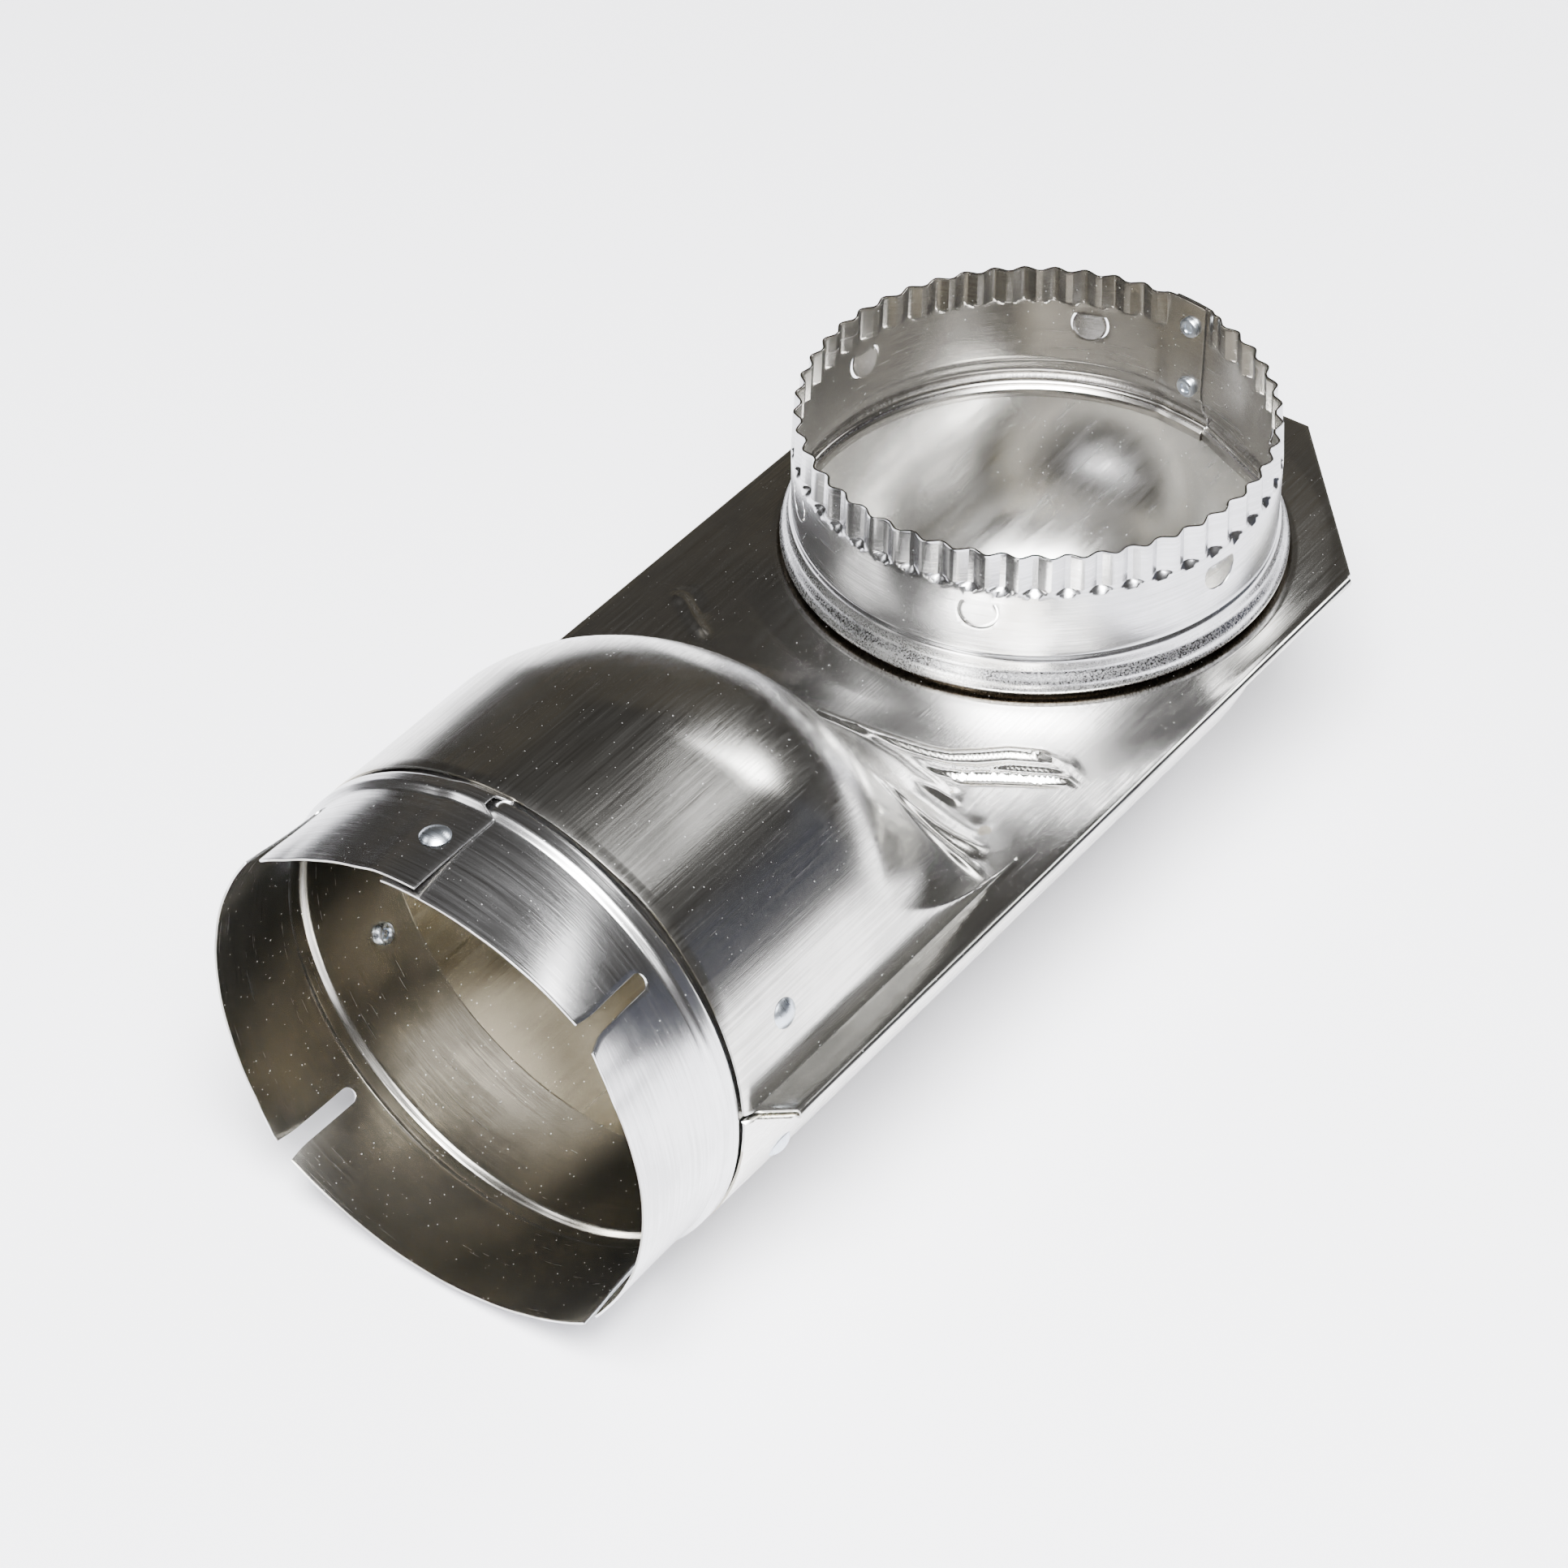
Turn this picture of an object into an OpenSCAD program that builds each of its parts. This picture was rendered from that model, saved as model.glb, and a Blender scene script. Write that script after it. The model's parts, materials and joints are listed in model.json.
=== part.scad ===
// Offset elbow for a clothes dryer vent, pressed and rolled from thin sheet.
// A drawn upper shell is hemmed round the flange of a drawn lower shell. A slotted collar is
// riveted into the open end, and a crimped collar turns in a round hole above the bowl.
// X runs from the inlet towards the closed end, Z points up along the outlet collar, and the
// origin is the middle of the footprint on the surface that the elbow lies on.

/* [Sheet] */
// Thickness of the sheet that every shell and collar is made of
sheet_t = 0.5; // [0.4:0.05:0.8]

/* [Inlet collar] */
// Inside radius of the slotted collar, which slips over a plain 4 inch pipe end
inlet_bore_r = 51.4; // [49:0.1:53]
// Length of the collar along its axis, from the rim to the end inside the shell
inlet_len = 51.7; // [42:0.1:60]
// Distance from the collar's rim to the middle of its stop bead
stop_bead_at = 25; // [23:0.5:30]
// Height of the stop bead above the collar's wall
stop_bead_h = 1; // [0.6:0.1:1.1]
// Half of the stop bead's width
stop_bead_half = 2.8; // [1.6:0.1:3.2]
// Number of slots cut in from the rim
slot_count = 4; // [2:1:6]
// Length of a slot from the rim to its round end
slot_len = 19.4; // [10:0.1:22]
// Width of a slot
slot_w = 3.2; // [2:0.1:5]
// Width of a slot at its mouth
slot_mouth_w = 4.4; // [3:0.1:6]

/* [Outlet collar] */
// How much smaller the crimped collar's radius is than the slotted collar's bore
outlet_undersize = 1; // [0.7:0.1:2]
// Height of the crimped rim above the flange
outlet_h = 34.5; // [30:0.5:45]
// Height of the crimps
crimp_h = 10; // [6:0.5:14]
// Number of crimps round the rim
crimp_count = 48; // [36:1:60]
// Depth of a crimp from crest to valley
crimp_depth = 1.5; // [0.8:0.1:2]
// How far the crests draw in at the rim
crimp_lead = 0.5; // [0:0.1:1]
// How far the bead that rests above the shell stands out from the band
base_bead_h = 2.2; // [1.8:0.1:2.6]
// Radius of the round edge of that bead
base_bead_round = 1.75; // [1:0.05:2]
// Radius of the round lanced tabs under the crimps
tab_r = 4.2; // [3:0.1:5]
// Width of the cut round a tab
tab_cut = 0.45; // [0.3:0.05:0.8]
// Height of the tabs' centres below the crimps
tab_drop = 4; // [3:0.1:6]

/* [Shells] */
// Gap between the inlet collar's sleeve and the half pipes round it
sleeve_gap = 0.6; // [0.55:0.05:0.9]
// Distance from the outlet's axis to the front edge of the half pipes
pipe_front = 170.6; // [160:1:200]
// Depth of the pipe's axis below the flange's top
axis_drop = 1.6; // [1.2:0.1:3]
// Width of the flange beside the half pipe
flange_rim = 7.3; // [6.5:0.1:12]
// Distance from the outlet's axis to the front of the flange at its outer edge
flange_front = 162.2; // [150:1:168]
// Width of the flange behind the bowl, at the closed end
flange_tail = 14.1; // [10:0.1:25]
// Width and length of the cut corners at the closed end
corner_w = 34.9; // [30:0.1:40]
corner_len = 39.3; // [34:0.1:44]
// Gap between the two flanges inside the hem
flange_gap = 0.6; // [0.4:0.1:1]
// Width of the hem folded under the lower flange
hem_w = 6; // [4:0.5:7]

/* [Dome] */
// Distance from the raised ring round the outlet to the foot of the dome's sloping end
dome_clear = 5.85; // [3:0.05:10]
// Radius of the crown where the dome starts to fall
crown_r = 55; // [53.5:0.5:60]
// Radius of the hollow where the dome runs out into the flange
root_r = 30; // [24:0.5:32]
// Radius of the line where the dome starts to fall, seen from above
crown_line_r = 1.9; // [1:0.1:20]
// Softness of the corner between the dome's sides and its sloping end
mitre_soft = 6; // [2:0.5:9]
// Height of the wrinkles pressed at the foot of the dome
wrinkle_h = 0.8; // [0.2:0.1:1.2]

/* [Outlet seat] */
// Height of the raised ring round the outlet hole
seat_h = 0.8; // [0.6:0.05:1]
// Width of the raised ring
seat_w = 4.4; // [3.5:0.1:4.5]
// Width of the slope down from the raised ring to the flange
seat_ramp = 0.8; // [0.5:0.1:1.2]
// Step from the band out to the neck that turns in the hole
neck_step = 0.5; // [0.3:0.05:0.7]
// Radial running clearance of the neck in the hole
neck_clear = 0.05; // [0.02:0.01:0.1]
// Width of the lip turned out under the raised ring
lip_w = 1.4; // [1:0.1:1.5]
// Gap between the raised ring and the bead above it, and the lip below it
swivel_gap = 0.25; // [0.2:0.05:0.35]

/* [Seams and rivets] */
// Width of the lap seams of the collars
lap_w = 8.4; // [7:0.1:10]
// Radius of a rivet's domed head
rivet_head_r = 3; // [2.5:0.1:3.4]
// Height of a rivet's domed head
rivet_head_h = 1.2; // [0.8:0.1:1.6]
// Radius of a rivet's shank
rivet_shank_r = 1.6; // [1.2:0.1:2]
// Radius of a rivet's rolled tail
rivet_tail_r = 2.3; // [2.1:0.1:2.8]
// Height of a rivet's rolled tail
rivet_tail_h = 1.1; // [0.8:0.1:1.4]
// Distance from the inlet rim to the inlet seam rivet
seam_rivet_at = 12.7; // [8:0.1:15]
// Height of the lower outlet seam rivet above the flange
low_rivet_z = 12.8; // [11:0.1:15]
// Height of the upper outlet seam rivet above the flange
high_rivet_z = 28.2; // [26:0.1:30]
// Distance from the shells' front edge to the body rivets
body_rivet_at = 15.4; // [12:0.1:18]
// Angle of the upper body rivets above the level of the pipe's axis
upper_rivet_tilt = 16.5; // [12:0.5:30]
// Angle of the lower body rivets below that level
lower_rivet_tilt = 22; // [15:0.5:35]

/* [Hidden] */
$fn = 96;
eps = 0.02;
reach = 200;

aluminium = "#c9c8c6";
bright_aluminium = "#d6d7da";
rivet_grey = "#b9c0c6";

// Radii that follow from the collar that the half pipes hold
inlet_wall_r = inlet_bore_r + sheet_t;
pipe_bore_r = inlet_wall_r + sleeve_gap;
pipe_r = pipe_bore_r + sheet_t;
outlet_band_r = inlet_bore_r - outlet_undersize;
base_bead_r = outlet_band_r + base_bead_h;
// Place of the inlet rim: the stop bead butts against the front of the shells
bead_butt = 0.3;
inlet_rim_x = -pipe_front - bead_butt - stop_bead_half - stop_bead_at;
// Levels of the flange stack below the flange's top
upper_under = -sheet_t;
lower_top = upper_under - flange_gap;
lower_under = lower_top - sheet_t;
fold_r = (3 * sheet_t + flange_gap) / 2;
// Angle at which the half pipe meets the flange's top
crease_angle = asin(axis_drop / pipe_r);
// Slant of the flange's front edge
front_slant = 6.3;
// Outline of the flange
flange_half = pipe_r + flange_rim;
flange_end = pipe_r + flange_tail;
end_half = flange_half - corner_w;
corner_start = flange_end - corner_len;
// How far the lower flange lies inside the upper one, and how far it shows ahead of it
lower_inset = 0.8;
lower_ahead = 1.4;
// The neck, the hole it turns in, and the bead above it
neck_r = outlet_band_r + neck_step;
hole_r = neck_r + neck_clear;
bead_low = seat_h + swivel_gap;
seat_edge_r = hole_r + seat_w + seat_ramp;
crimp_z = outlet_h - crimp_h;
// Middle line of the outlet wall: band, neck, round of the bead, and the blend back to the band
band_mid = outlet_band_r - sheet_t / 2;
neck_mid = neck_r - sheet_t / 2;
lip_mid_z = seat_h - sheet_t - swivel_gap - sheet_t / 2;
bead_under_z = bead_low + sheet_t / 2;
bead_c = [base_bead_r - sheet_t / 2 - base_bead_round, bead_under_z + base_bead_round];
bead_start = -60;
bead_bend = 50;
bead_turn = bead_c + base_bead_round * [cos(bead_bend), sin(bead_bend)];
blend_r = (bead_turn[0] - band_mid) / (1 - cos(bead_bend));
blend_c = bead_turn + blend_r * [cos(bead_bend), sin(bead_bend)];
// Fold line of the lanced tabs
tab_fold_z = crimp_z - 1.6;
// Clock angles of the seams, the inlet seam's rivet and the first tab, and the bend of each tab
outlet_seam_angle = -6.4;
inlet_seam_angle = 87.8;
seam_rivet_angle = 86.3;
first_tab_angle = 21;
tab_bends = [14, 12, 0, 0, 24, 8];
// Play of a rivet: round its shank, and under its tail where the wall is hollow
rivet_clear = 0.1;
tail_play = 0.06;
// Segments of a small bead or fold in section
arc_steps = 8;
// Shift that brings the middle of the footprint to the origin
middle_x = (flange_end + inlet_rim_x) / 2;
floor_z = -axis_drop - pipe_r;

module placed() {
    translate([-middle_x, 0, -floor_z]) children();
}

// Points of an arc about a centre, from one angle to another
function arc(c, r, a0, a1, n = arc_steps) =
    [for (i = [0:n]) let (a = a0 + (a1 - a0) * i / n) c + r * [cos(a), sin(a)]];

function unit(v) = v / norm(v);

// Left-hand normal of the segment that starts at point i of a path
function seg_normal(p, i) = let (d = unit(p[i + 1] - p[i])) [-d[1], d[0]];

// Point i of a path moved sideways by d, with mitred corners
function mitred(p, i, d) =
    let (last = len(p) - 1,
         n1 = seg_normal(p, max(i - 1, 0)),
         n2 = seg_normal(p, min(i, last - 1)))
    p[i] + d * (n1 + n2) / (1 + n1 * n2);

// Closed outline of a sheet whose middle line is the path
function sheet_outline(p) =
    concat([for (i = [0:len(p) - 1]) mitred(p, i, sheet_t / 2)],
           [for (i = [len(p) - 1:-1:0]) mitred(p, i, -sheet_t / 2)]);

// A full tube about Z
module tube(r_out, r_in, h) {
    difference() {
        cylinder(r = r_out, h = h);
        translate([0, 0, -1]) cylinder(r = r_in, h = h + 2);
    }
}

// Lays children drawn about Z along the pipe's axis, with Z = 0 at the given x
module along_pipe(x) {
    translate([x, 0, -axis_drop]) rotate([0, 90, 0]) children();
}

// Places children drawn along +Z on a radius of the pipe, at an angle from +Y towards +Z
module on_pipe(x, angle) {
    translate([x, 0, -axis_drop]) rotate([angle - 90, 0, 0]) children();
}

// Places children drawn along +Z on a radius of the outlet collar, at a height and clock angle
module on_outlet(z, angle) {
    translate([0, 0, z]) rotate([0, 90, angle]) children();
}

// Shell edge seen from above: slanted front, straight sides and cut corners at the closed end
module flange_outline(inset = 0, ahead = 0) {
    half = flange_half - inset;
    front = flange_front + ahead;
    polygon([for (s = [-1, 1], p = s < 0
        ? [[-front - front_slant, pipe_bore_r], [-front, half], [corner_start, half],
           [flange_end - inset, end_half]]
        : [[flange_end - inset, -end_half], [corner_start, -half], [-front, -half],
           [-front - front_slant, -pipe_bore_r]]) p]);
}

// Fall of the dome's end at a distance from where it starts: a crown arc, then a root arc
dome_h = pipe_r - axis_drop;
fall_angle = acos(1 - dome_h / (crown_r + root_r));
fall_len = (crown_r + root_r) * sin(fall_angle);
crown_len = crown_r * sin(fall_angle);
dome_foot_x = -seat_edge_r - dome_clear;
fall_start_x = dome_foot_x - fall_len;
foot_centre_x = fall_start_x - crown_line_r;

function end_fall(d) =
    d <= 0 ? dome_h
    : d < crown_len ? dome_h - crown_r + sqrt(crown_r * crown_r - d * d)
    : d < fall_len ? root_r - sqrt(root_r * root_r - pow(fall_len - d, 2))
    : 0;

// Height of the half pipe and of the sloping end above the flange's top
function pipe_height(y) = sqrt(max(pipe_r * pipe_r - y * y, 0)) - axis_drop;
function end_height(x, y) = end_fall(norm([max(x - foot_centre_x, 0), y]) - crown_line_r);

// The lower of two heights, blended over k where they meet
function soft_min(a, b, k) =
    let (h = min(max(0.5 + 0.5 * (b - a) / k, 0), 1)) b * (1 - h) + a * h - k * h * (1 - h);

// A ridge along a line seen from above: the two ends, share of the height, and half width.
// An end is [distance ahead of the patch's rear edge, y].
ridges = [
    [[35.5, -50], [30.5, -24], 1.6, 1.8],
    [[26.5, -46], [26.5, -24], -1.3, 3],
    [[20.5, -36], [18.5, -10], 1.2, 1.5],
    [[13.5, -4], [10.5, -28], 1, 1.4],
    [[10.5, -28], [2.5, -46], 1.2, 1.6],
    [[13.5, -26], [4.5, -50], -1.1, 1.6],
    [[1.5, -51], [7.5, -36], 1, 1.3],
    [[1.5, 50], [8.5, 36], 1.1, 1.5]
];

function line_offset(p, a, b) =
    let (d = b - a, s = min(max((p - a) * d / (d * d), 0), 1)) [norm(p - a - s * d), s];

function ridge_rise(p, r) =
    let (o = line_offset(p, r[0], r[1]), ends = pow(sin(180 * min(max(o[1], 0.03), 0.97)), 0.7))
    r[2] * wrinkle_h * ends * exp(-pow(o[0] / r[3], 2));

// Share of the wrinkles that is left near the patch's border, where the flange is flat
function border_fade(x, y) =
    min(max((patch_end - x) / 2, 0), 1) * min(max((patch_half - abs(y)) / 2, 0), 1);

function rises(x, y, i = 0) =
    i == len(ridges) ? 0 : ridge_rise([patch_end - x, y], ridges[i]) + rises(x, y, i + 1);

// Height of the drawn patch above the flange's top
function patch_z(x, y) =
    let (a = pipe_height(y), b = end_height(x, y),
         grow = min(max((x - fall_start_x) / 20, 0), 1),
         k = max(mitre_soft * grow * min(max(min(a, b) / 30, 0.04), 1), 0.01))
    max(abs(y) < pipe_r ? soft_min(a, b, k) : 0, 0)
    + (x > wrinkle_x ? rises(x, y) * border_fade(x, y) : 0);

// The patch ends just ahead of the raised ring, and its flat borders lie beside the half pipe
patch_border = 3;
patch_end = -seat_edge_r - seat_ramp - 0.5;
patch_half = pipe_r + patch_border;
wrinkle_x = patch_end - 40;
slope_step = 0.05;

function patch_normal(x, y) =
    unit([patch_z(x - slope_step, y) - patch_z(x + slope_step, y),
          patch_z(x, y - slope_step) - patch_z(x, y + slope_step),
          2 * slope_step]);

// Columns across the dome: the flat borders, and equal angles over the pipe between the creases
side_cols = 46;
patch_ys = concat(
    [-patch_half, -patch_half + patch_border / 2],
    [for (i = [0:side_cols])
        -pipe_r * cos(crease_angle + (180 - 2 * crease_angle) * i / side_cols)],
    [patch_half - patch_border / 2, patch_half]);
// Rows along the dome, closer together where the wrinkles are
plain_rows = 9;
wrinkle_rows = 18;
patch_xs = concat(
    [for (i = [0:plain_rows - 1]) fall_start_x + (wrinkle_x - fall_start_x) * i / plain_rows],
    [for (i = [0:wrinkle_rows]) wrinkle_x + (patch_end - wrinkle_x) * i / wrinkle_rows]);

// The drawn end of the dome with its wrinkles, as one sheet of even thickness
module dome_end() {
    nx = len(patch_xs);
    ny = len(patch_ys);
    flat = [0, 0, 1];
    top = [for (x = patch_xs, y = patch_ys) [x, y, patch_z(x, y)]];
    under = [for (i = [0:nx - 1], j = [0:ny - 1])
        let (p = top[i * ny + j],
             rim = i == nx - 1 || j == 0 || j == ny - 1,
             n = rim ? flat : patch_normal(p[0], p[1]),
             m = i == 0 ? unit([0, n[1], n[2]]) : n)
        p - sheet_t * m];
    size = nx * ny;
    quads = [for (i = [0:nx - 2], j = [0:ny - 2]) [i * ny + j, i * ny + j + 1,
        (i + 1) * ny + j + 1, (i + 1) * ny + j]];
    sheets = [for (q = quads, f = [[q[0], q[1], q[2]], [q[0], q[2], q[3]]]) f];
    loop = concat([for (j = [0:ny - 2]) j], [for (i = [0:nx - 2]) i * ny + ny - 1],
        [for (j = [ny - 1:-1:1]) (nx - 1) * ny + j], [for (i = [nx - 1:-1:1]) i * ny]);
    edges = [for (i = [0:len(loop) - 1]) let (a = loop[i], b = loop[(i + 1) % len(loop)])
        each [[a, b + size, b], [a, a + size, b + size]]];
    polyhedron(concat(top, under), concat(
        sheets,
        [for (f = sheets) [f[2] + size, f[1] + size, f[0] + size]],
        edges));
}

// Hole for a rivet, cut along +Z through the sheets under a seat at that radius
module rivet_hole(seat_r) {
    depth = 5;
    translate([0, 0, seat_r - depth]) cylinder(r = rivet_shank_r + rivet_clear, h = 2 * depth);
}

// Edge of the upper sheet folded round the lower flange along both sides
module side_hems() {
    length = flange_front + corner_start;
    mid = -fold_r;
    for (s = [-1, 1])
        translate([-flange_front, 0, 0]) rotate([90, 0, 90]) linear_extrude(length) {
            intersection() {
                translate([s * (flange_half - fold_r), mid]) difference() {
                    circle(r = fold_r, $fn = 48);
                    circle(r = fold_r - sheet_t, $fn = 48);
                }
                translate([s > 0 ? flange_half - fold_r - eps : -flange_half - 1, mid - fold_r - 1])
                    square([fold_r + 1 + eps, 2 * fold_r + 2]);
            }
            translate([s > 0 ? flange_half - hem_w : fold_r - flange_half, mid - fold_r])
                square([hem_w - fold_r, sheet_t]);
        }
}

// Raised ring pressed up round the outlet hole, on which the collar's bead turns
module outlet_seat() {
    path = [[seat_edge_r + seat_ramp, -sheet_t / 2], [seat_edge_r, -sheet_t / 2],
            [hole_r + seat_w - seat_ramp, seat_h - sheet_t / 2], [hole_r, seat_h - sheet_t / 2]];
    rotate_extrude($fn = 192) polygon(sheet_outline(path));
}

module upper_shell() {
    color(aluminium) placed() difference() {
        union() {
            intersection() {
                along_pipe(-pipe_front) tube(pipe_r, pipe_bore_r, pipe_front + fall_start_x);
                translate([-pipe_front - 1, -reach / 2, upper_under]) cube([reach, reach, reach]);
            }
            translate([0, 0, upper_under]) linear_extrude(sheet_t) difference() {
                intersection() {
                    flange_outline();
                    square([2 * reach, 2 * (flange_half - fold_r)], center = true);
                }
                translate([-pipe_front - 1, -pipe_bore_r])
                    square([pipe_front + 2 + fall_start_x, 2 * pipe_bore_r]);
                translate([fall_start_x, -patch_half])
                    square([patch_end - fall_start_x, 2 * patch_half]);
                circle(r = seat_edge_r, $fn = 192);
            }
            dome_end();
            side_hems();
            outlet_seat();
        }
        for (s = [0, 1])
            on_pipe(body_rivet_at - pipe_front, s ? 180 - upper_rivet_tilt : upper_rivet_tilt)
                rivet_hole(pipe_r);
    }
}

// Outside of the lower shell: a half pipe that ends in a quarter ball under the outlet. The
// cylinder starts on top, so that no seam of its surface lies on the line that the elbow rests on.
module trough(r, front) {
    along_pipe(-front) rotate([0, 0, 180]) cylinder(r = r, h = front);
    translate([0, 0, -axis_drop]) sphere(r = r);
}

module lower_shell() {
    side_play = 0.1;
    color(aluminium) placed() difference() {
        union() {
            intersection() {
                trough(pipe_r, pipe_front);
                translate([-reach, -reach / 2, lower_top - reach]) cube([2 * reach, reach, reach]);
            }
            translate([0, 0, lower_under]) linear_extrude(sheet_t) intersection() {
                flange_outline(lower_inset, lower_ahead);
                square([2 * reach, 2 * (flange_half - fold_r - side_play)], center = true);
            }
        }
        trough(pipe_bore_r, pipe_front + 1);
        for (s = [0, 1])
            on_pipe(body_rivet_at - pipe_front, s ? 180 + lower_rivet_tilt : -lower_rivet_tilt)
                rivet_hole(pipe_r);
    }
}

// Section of a layer of the inlet collar whose middle line has that radius, with the stop bead
module inlet_section(mid_r) {
    round_r = (pow(stop_bead_half, 2) + pow(stop_bead_h, 2)) / (2 * stop_bead_h);
    half_a = asin(stop_bead_half / round_r);
    bead = arc([mid_r + stop_bead_h - round_r, stop_bead_at], round_r, -half_a, half_a);
    polygon(sheet_outline(concat([[mid_r, 0]], bead, [[mid_r, inlet_len]])));
}

// One slot, cut along +Z, from the rim at x = 0 to its round end
module slot_cut() {
    round_r = slot_w / 2;
    flare_len = 5;
    translate([0, 0, inlet_bore_r - 3]) {
        linear_extrude(6) polygon([[-1, -slot_mouth_w / 2], [0, -slot_mouth_w / 2],
            [flare_len, -round_r], [slot_len - round_r, -round_r],
            [slot_len - round_r, round_r], [flare_len, round_r],
            [0, slot_mouth_w / 2], [-1, slot_mouth_w / 2]]);
        translate([slot_len - round_r, 0, 0]) cylinder(r = round_r, h = 6);
    }
}

// Second layer of a rolled strip at its lap seam: its section turned about the clock angle 0
module lap_layer(r) {
    span = lap_w / r * 180 / PI;
    rotate([0, 0, -span / 2]) rotate_extrude(angle = span, $fn = 192) children();
}

module inlet_collar() {
    color(bright_aluminium) placed() difference() {
        union() {
            along_pipe(inlet_rim_x) {
                mid = inlet_bore_r + sheet_t / 2;
                rotate_extrude($fn = 192) inlet_section(mid);
                rotate([0, 0, 90 + inlet_seam_angle]) lap_layer(mid) inlet_section(mid + sheet_t - eps);
            }
        }
        for (i = [0:slot_count - 1])
            on_pipe(inlet_rim_x, (i + 0.5) * 360 / slot_count) slot_cut();
        on_pipe(inlet_rim_x + seam_rivet_at, seam_rivet_angle) rivet_hole(inlet_wall_r);
        for (a = [upper_rivet_tilt, 180 - upper_rivet_tilt, -lower_rivet_tilt, 180 + lower_rivet_tilt])
            on_pipe(body_rivet_at - pipe_front, a) rivet_hole(pipe_r);
    }
}

// Outlet collar below the crimps: turned lip, neck, round bead, blend and plain band
module outlet_wall() {
    path = concat(
        [[neck_mid + lip_w, lip_mid_z], [neck_mid, lip_mid_z], [neck_mid, bead_under_z]],
        arc(bead_c, base_bead_round, bead_start, bead_bend),
        arc(blend_c, blend_r, 170 + bead_bend, 180, 4),
        [[band_mid, crimp_z]]);
    rotate_extrude($fn = 192) polygon(sheet_outline(path));
}

// Crimps: the wall waves in and out between crests and valleys, except across the seam
flute_phases = [0, 0.09, 0.41, 0.5, 0.59, 0.91];
flute_wave = [0, 0.08, 0.92, 1, 0.92, 0.08];
seam_flat = 6;
crimp_rows = [[-0.8, 0], [0, 0], [0.4, 0], [1.5, 0.75], [3, 1], [crimp_h, 1]];
tucked_rows = 2;

module crimps() {
    per = len(flute_phases);
    cols = crimp_count * per;
    rows = len(crimp_rows);
    outer = [for (k = [0:rows - 1], i = [0:crimp_count - 1], j = [0:per - 1])
        let (a = (i + flute_phases[j]) * 360 / crimp_count,
             off = abs((a - outlet_seam_angle + 540) % 360 - 180),
             h = crimp_rows[k][0],
             dip = crimp_depth * crimp_rows[k][1] * flute_wave[j] + crimp_lead * max(h, 0) / crimp_h,
             tuck = k < tucked_rows ? sheet_t * 0.3 : 0,
             r = outlet_band_r - tuck - dip * min(max((off - seam_flat) / 2, 0), 1))
        [r * cos(a), r * sin(a), crimp_z + h]];
    inner = [for (i = [0:len(outer) - 1])
        let (p = outer[i], r = norm([p[0], p[1]]),
             wall = i < tucked_rows * cols ? sheet_t * 0.4 : sheet_t)
        [p[0] * (r - wall) / r, p[1] * (r - wall) / r, p[2]]];
    size = len(outer);
    quads = [for (k = [0:rows - 2], i = [0:cols - 1])
        [k * cols + i, k * cols + (i + 1) % cols, (k + 1) * cols + (i + 1) % cols, (k + 1) * cols + i]];
    skin = [for (q = quads, f = [[q[2], q[1], q[0]], [q[3], q[2], q[0]]]) f];
    top = (rows - 1) * cols;
    rims = [for (i = [0:cols - 1]) let (n = (i + 1) % cols) each [
        [top + i, size + top + n, top + n], [top + i, size + top + i, size + top + n],
        [i, n, size + n], [i, size + n, size + i]]];
    polyhedron(concat(outer, inner), concat(
        skin,
        [for (f = skin) [f[2] + size, f[1] + size, f[0] + size]],
        rims));
}

// The part of a tab below its fold line, as a plug on a radius of the collar
module tab_plug(r, fold) {
    intersection() {
        on_outlet(crimp_z - tab_drop, 0) translate([0, 0, outlet_band_r - 3])
            cylinder(r = r, h = 6);
        translate([0, -reach / 2, fold - reach]) cube([reach, reach, reach]);
    }
}

// What is cut away for a tab: its rim only where it stays flush, or else all of it
module tab_opening(bend) {
    difference() {
        tab_plug(tab_r, tab_fold_z);
        if (bend == 0) tab_plug(tab_r - tab_cut, tab_fold_z + 1);
    }
}

// A flap of the band's own wall, bent in about its fold line
module bent_tab(bend) {
    hinge = [band_mid, 0, tab_fold_z];
    translate(hinge) rotate([0, bend, 0]) translate(-hinge) intersection() {
        tube(outlet_band_r, outlet_band_r - sheet_t, crimp_z);
        tab_plug(tab_r - tab_cut, tab_fold_z + sheet_t / 4);
    }
}

module outlet_collar() {
    span = 360 / len(tab_bends);
    color(bright_aluminium) placed() {
        difference() {
            union() {
                outlet_wall();
                crimps();
                rotate([0, 0, outlet_seam_angle]) lap_layer(band_mid)
                    translate([outlet_band_r - 2 * sheet_t, blend_c[1]])
                        square([sheet_t * 1.25, outlet_h - blend_c[1]]);
            }
            for (i = [0:len(tab_bends) - 1]) rotate([0, 0, first_tab_angle + i * span])
                tab_opening(tab_bends[i]);
            for (z = [low_rivet_z, high_rivet_z]) on_outlet(z, outlet_seam_angle) rivet_hole(outlet_band_r);
        }
        for (i = [0:len(tab_bends) - 1]) if (tab_bends[i] > 0)
            rotate([0, 0, first_tab_angle + i * span]) bent_tab(tab_bends[i]);
    }
}

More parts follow.
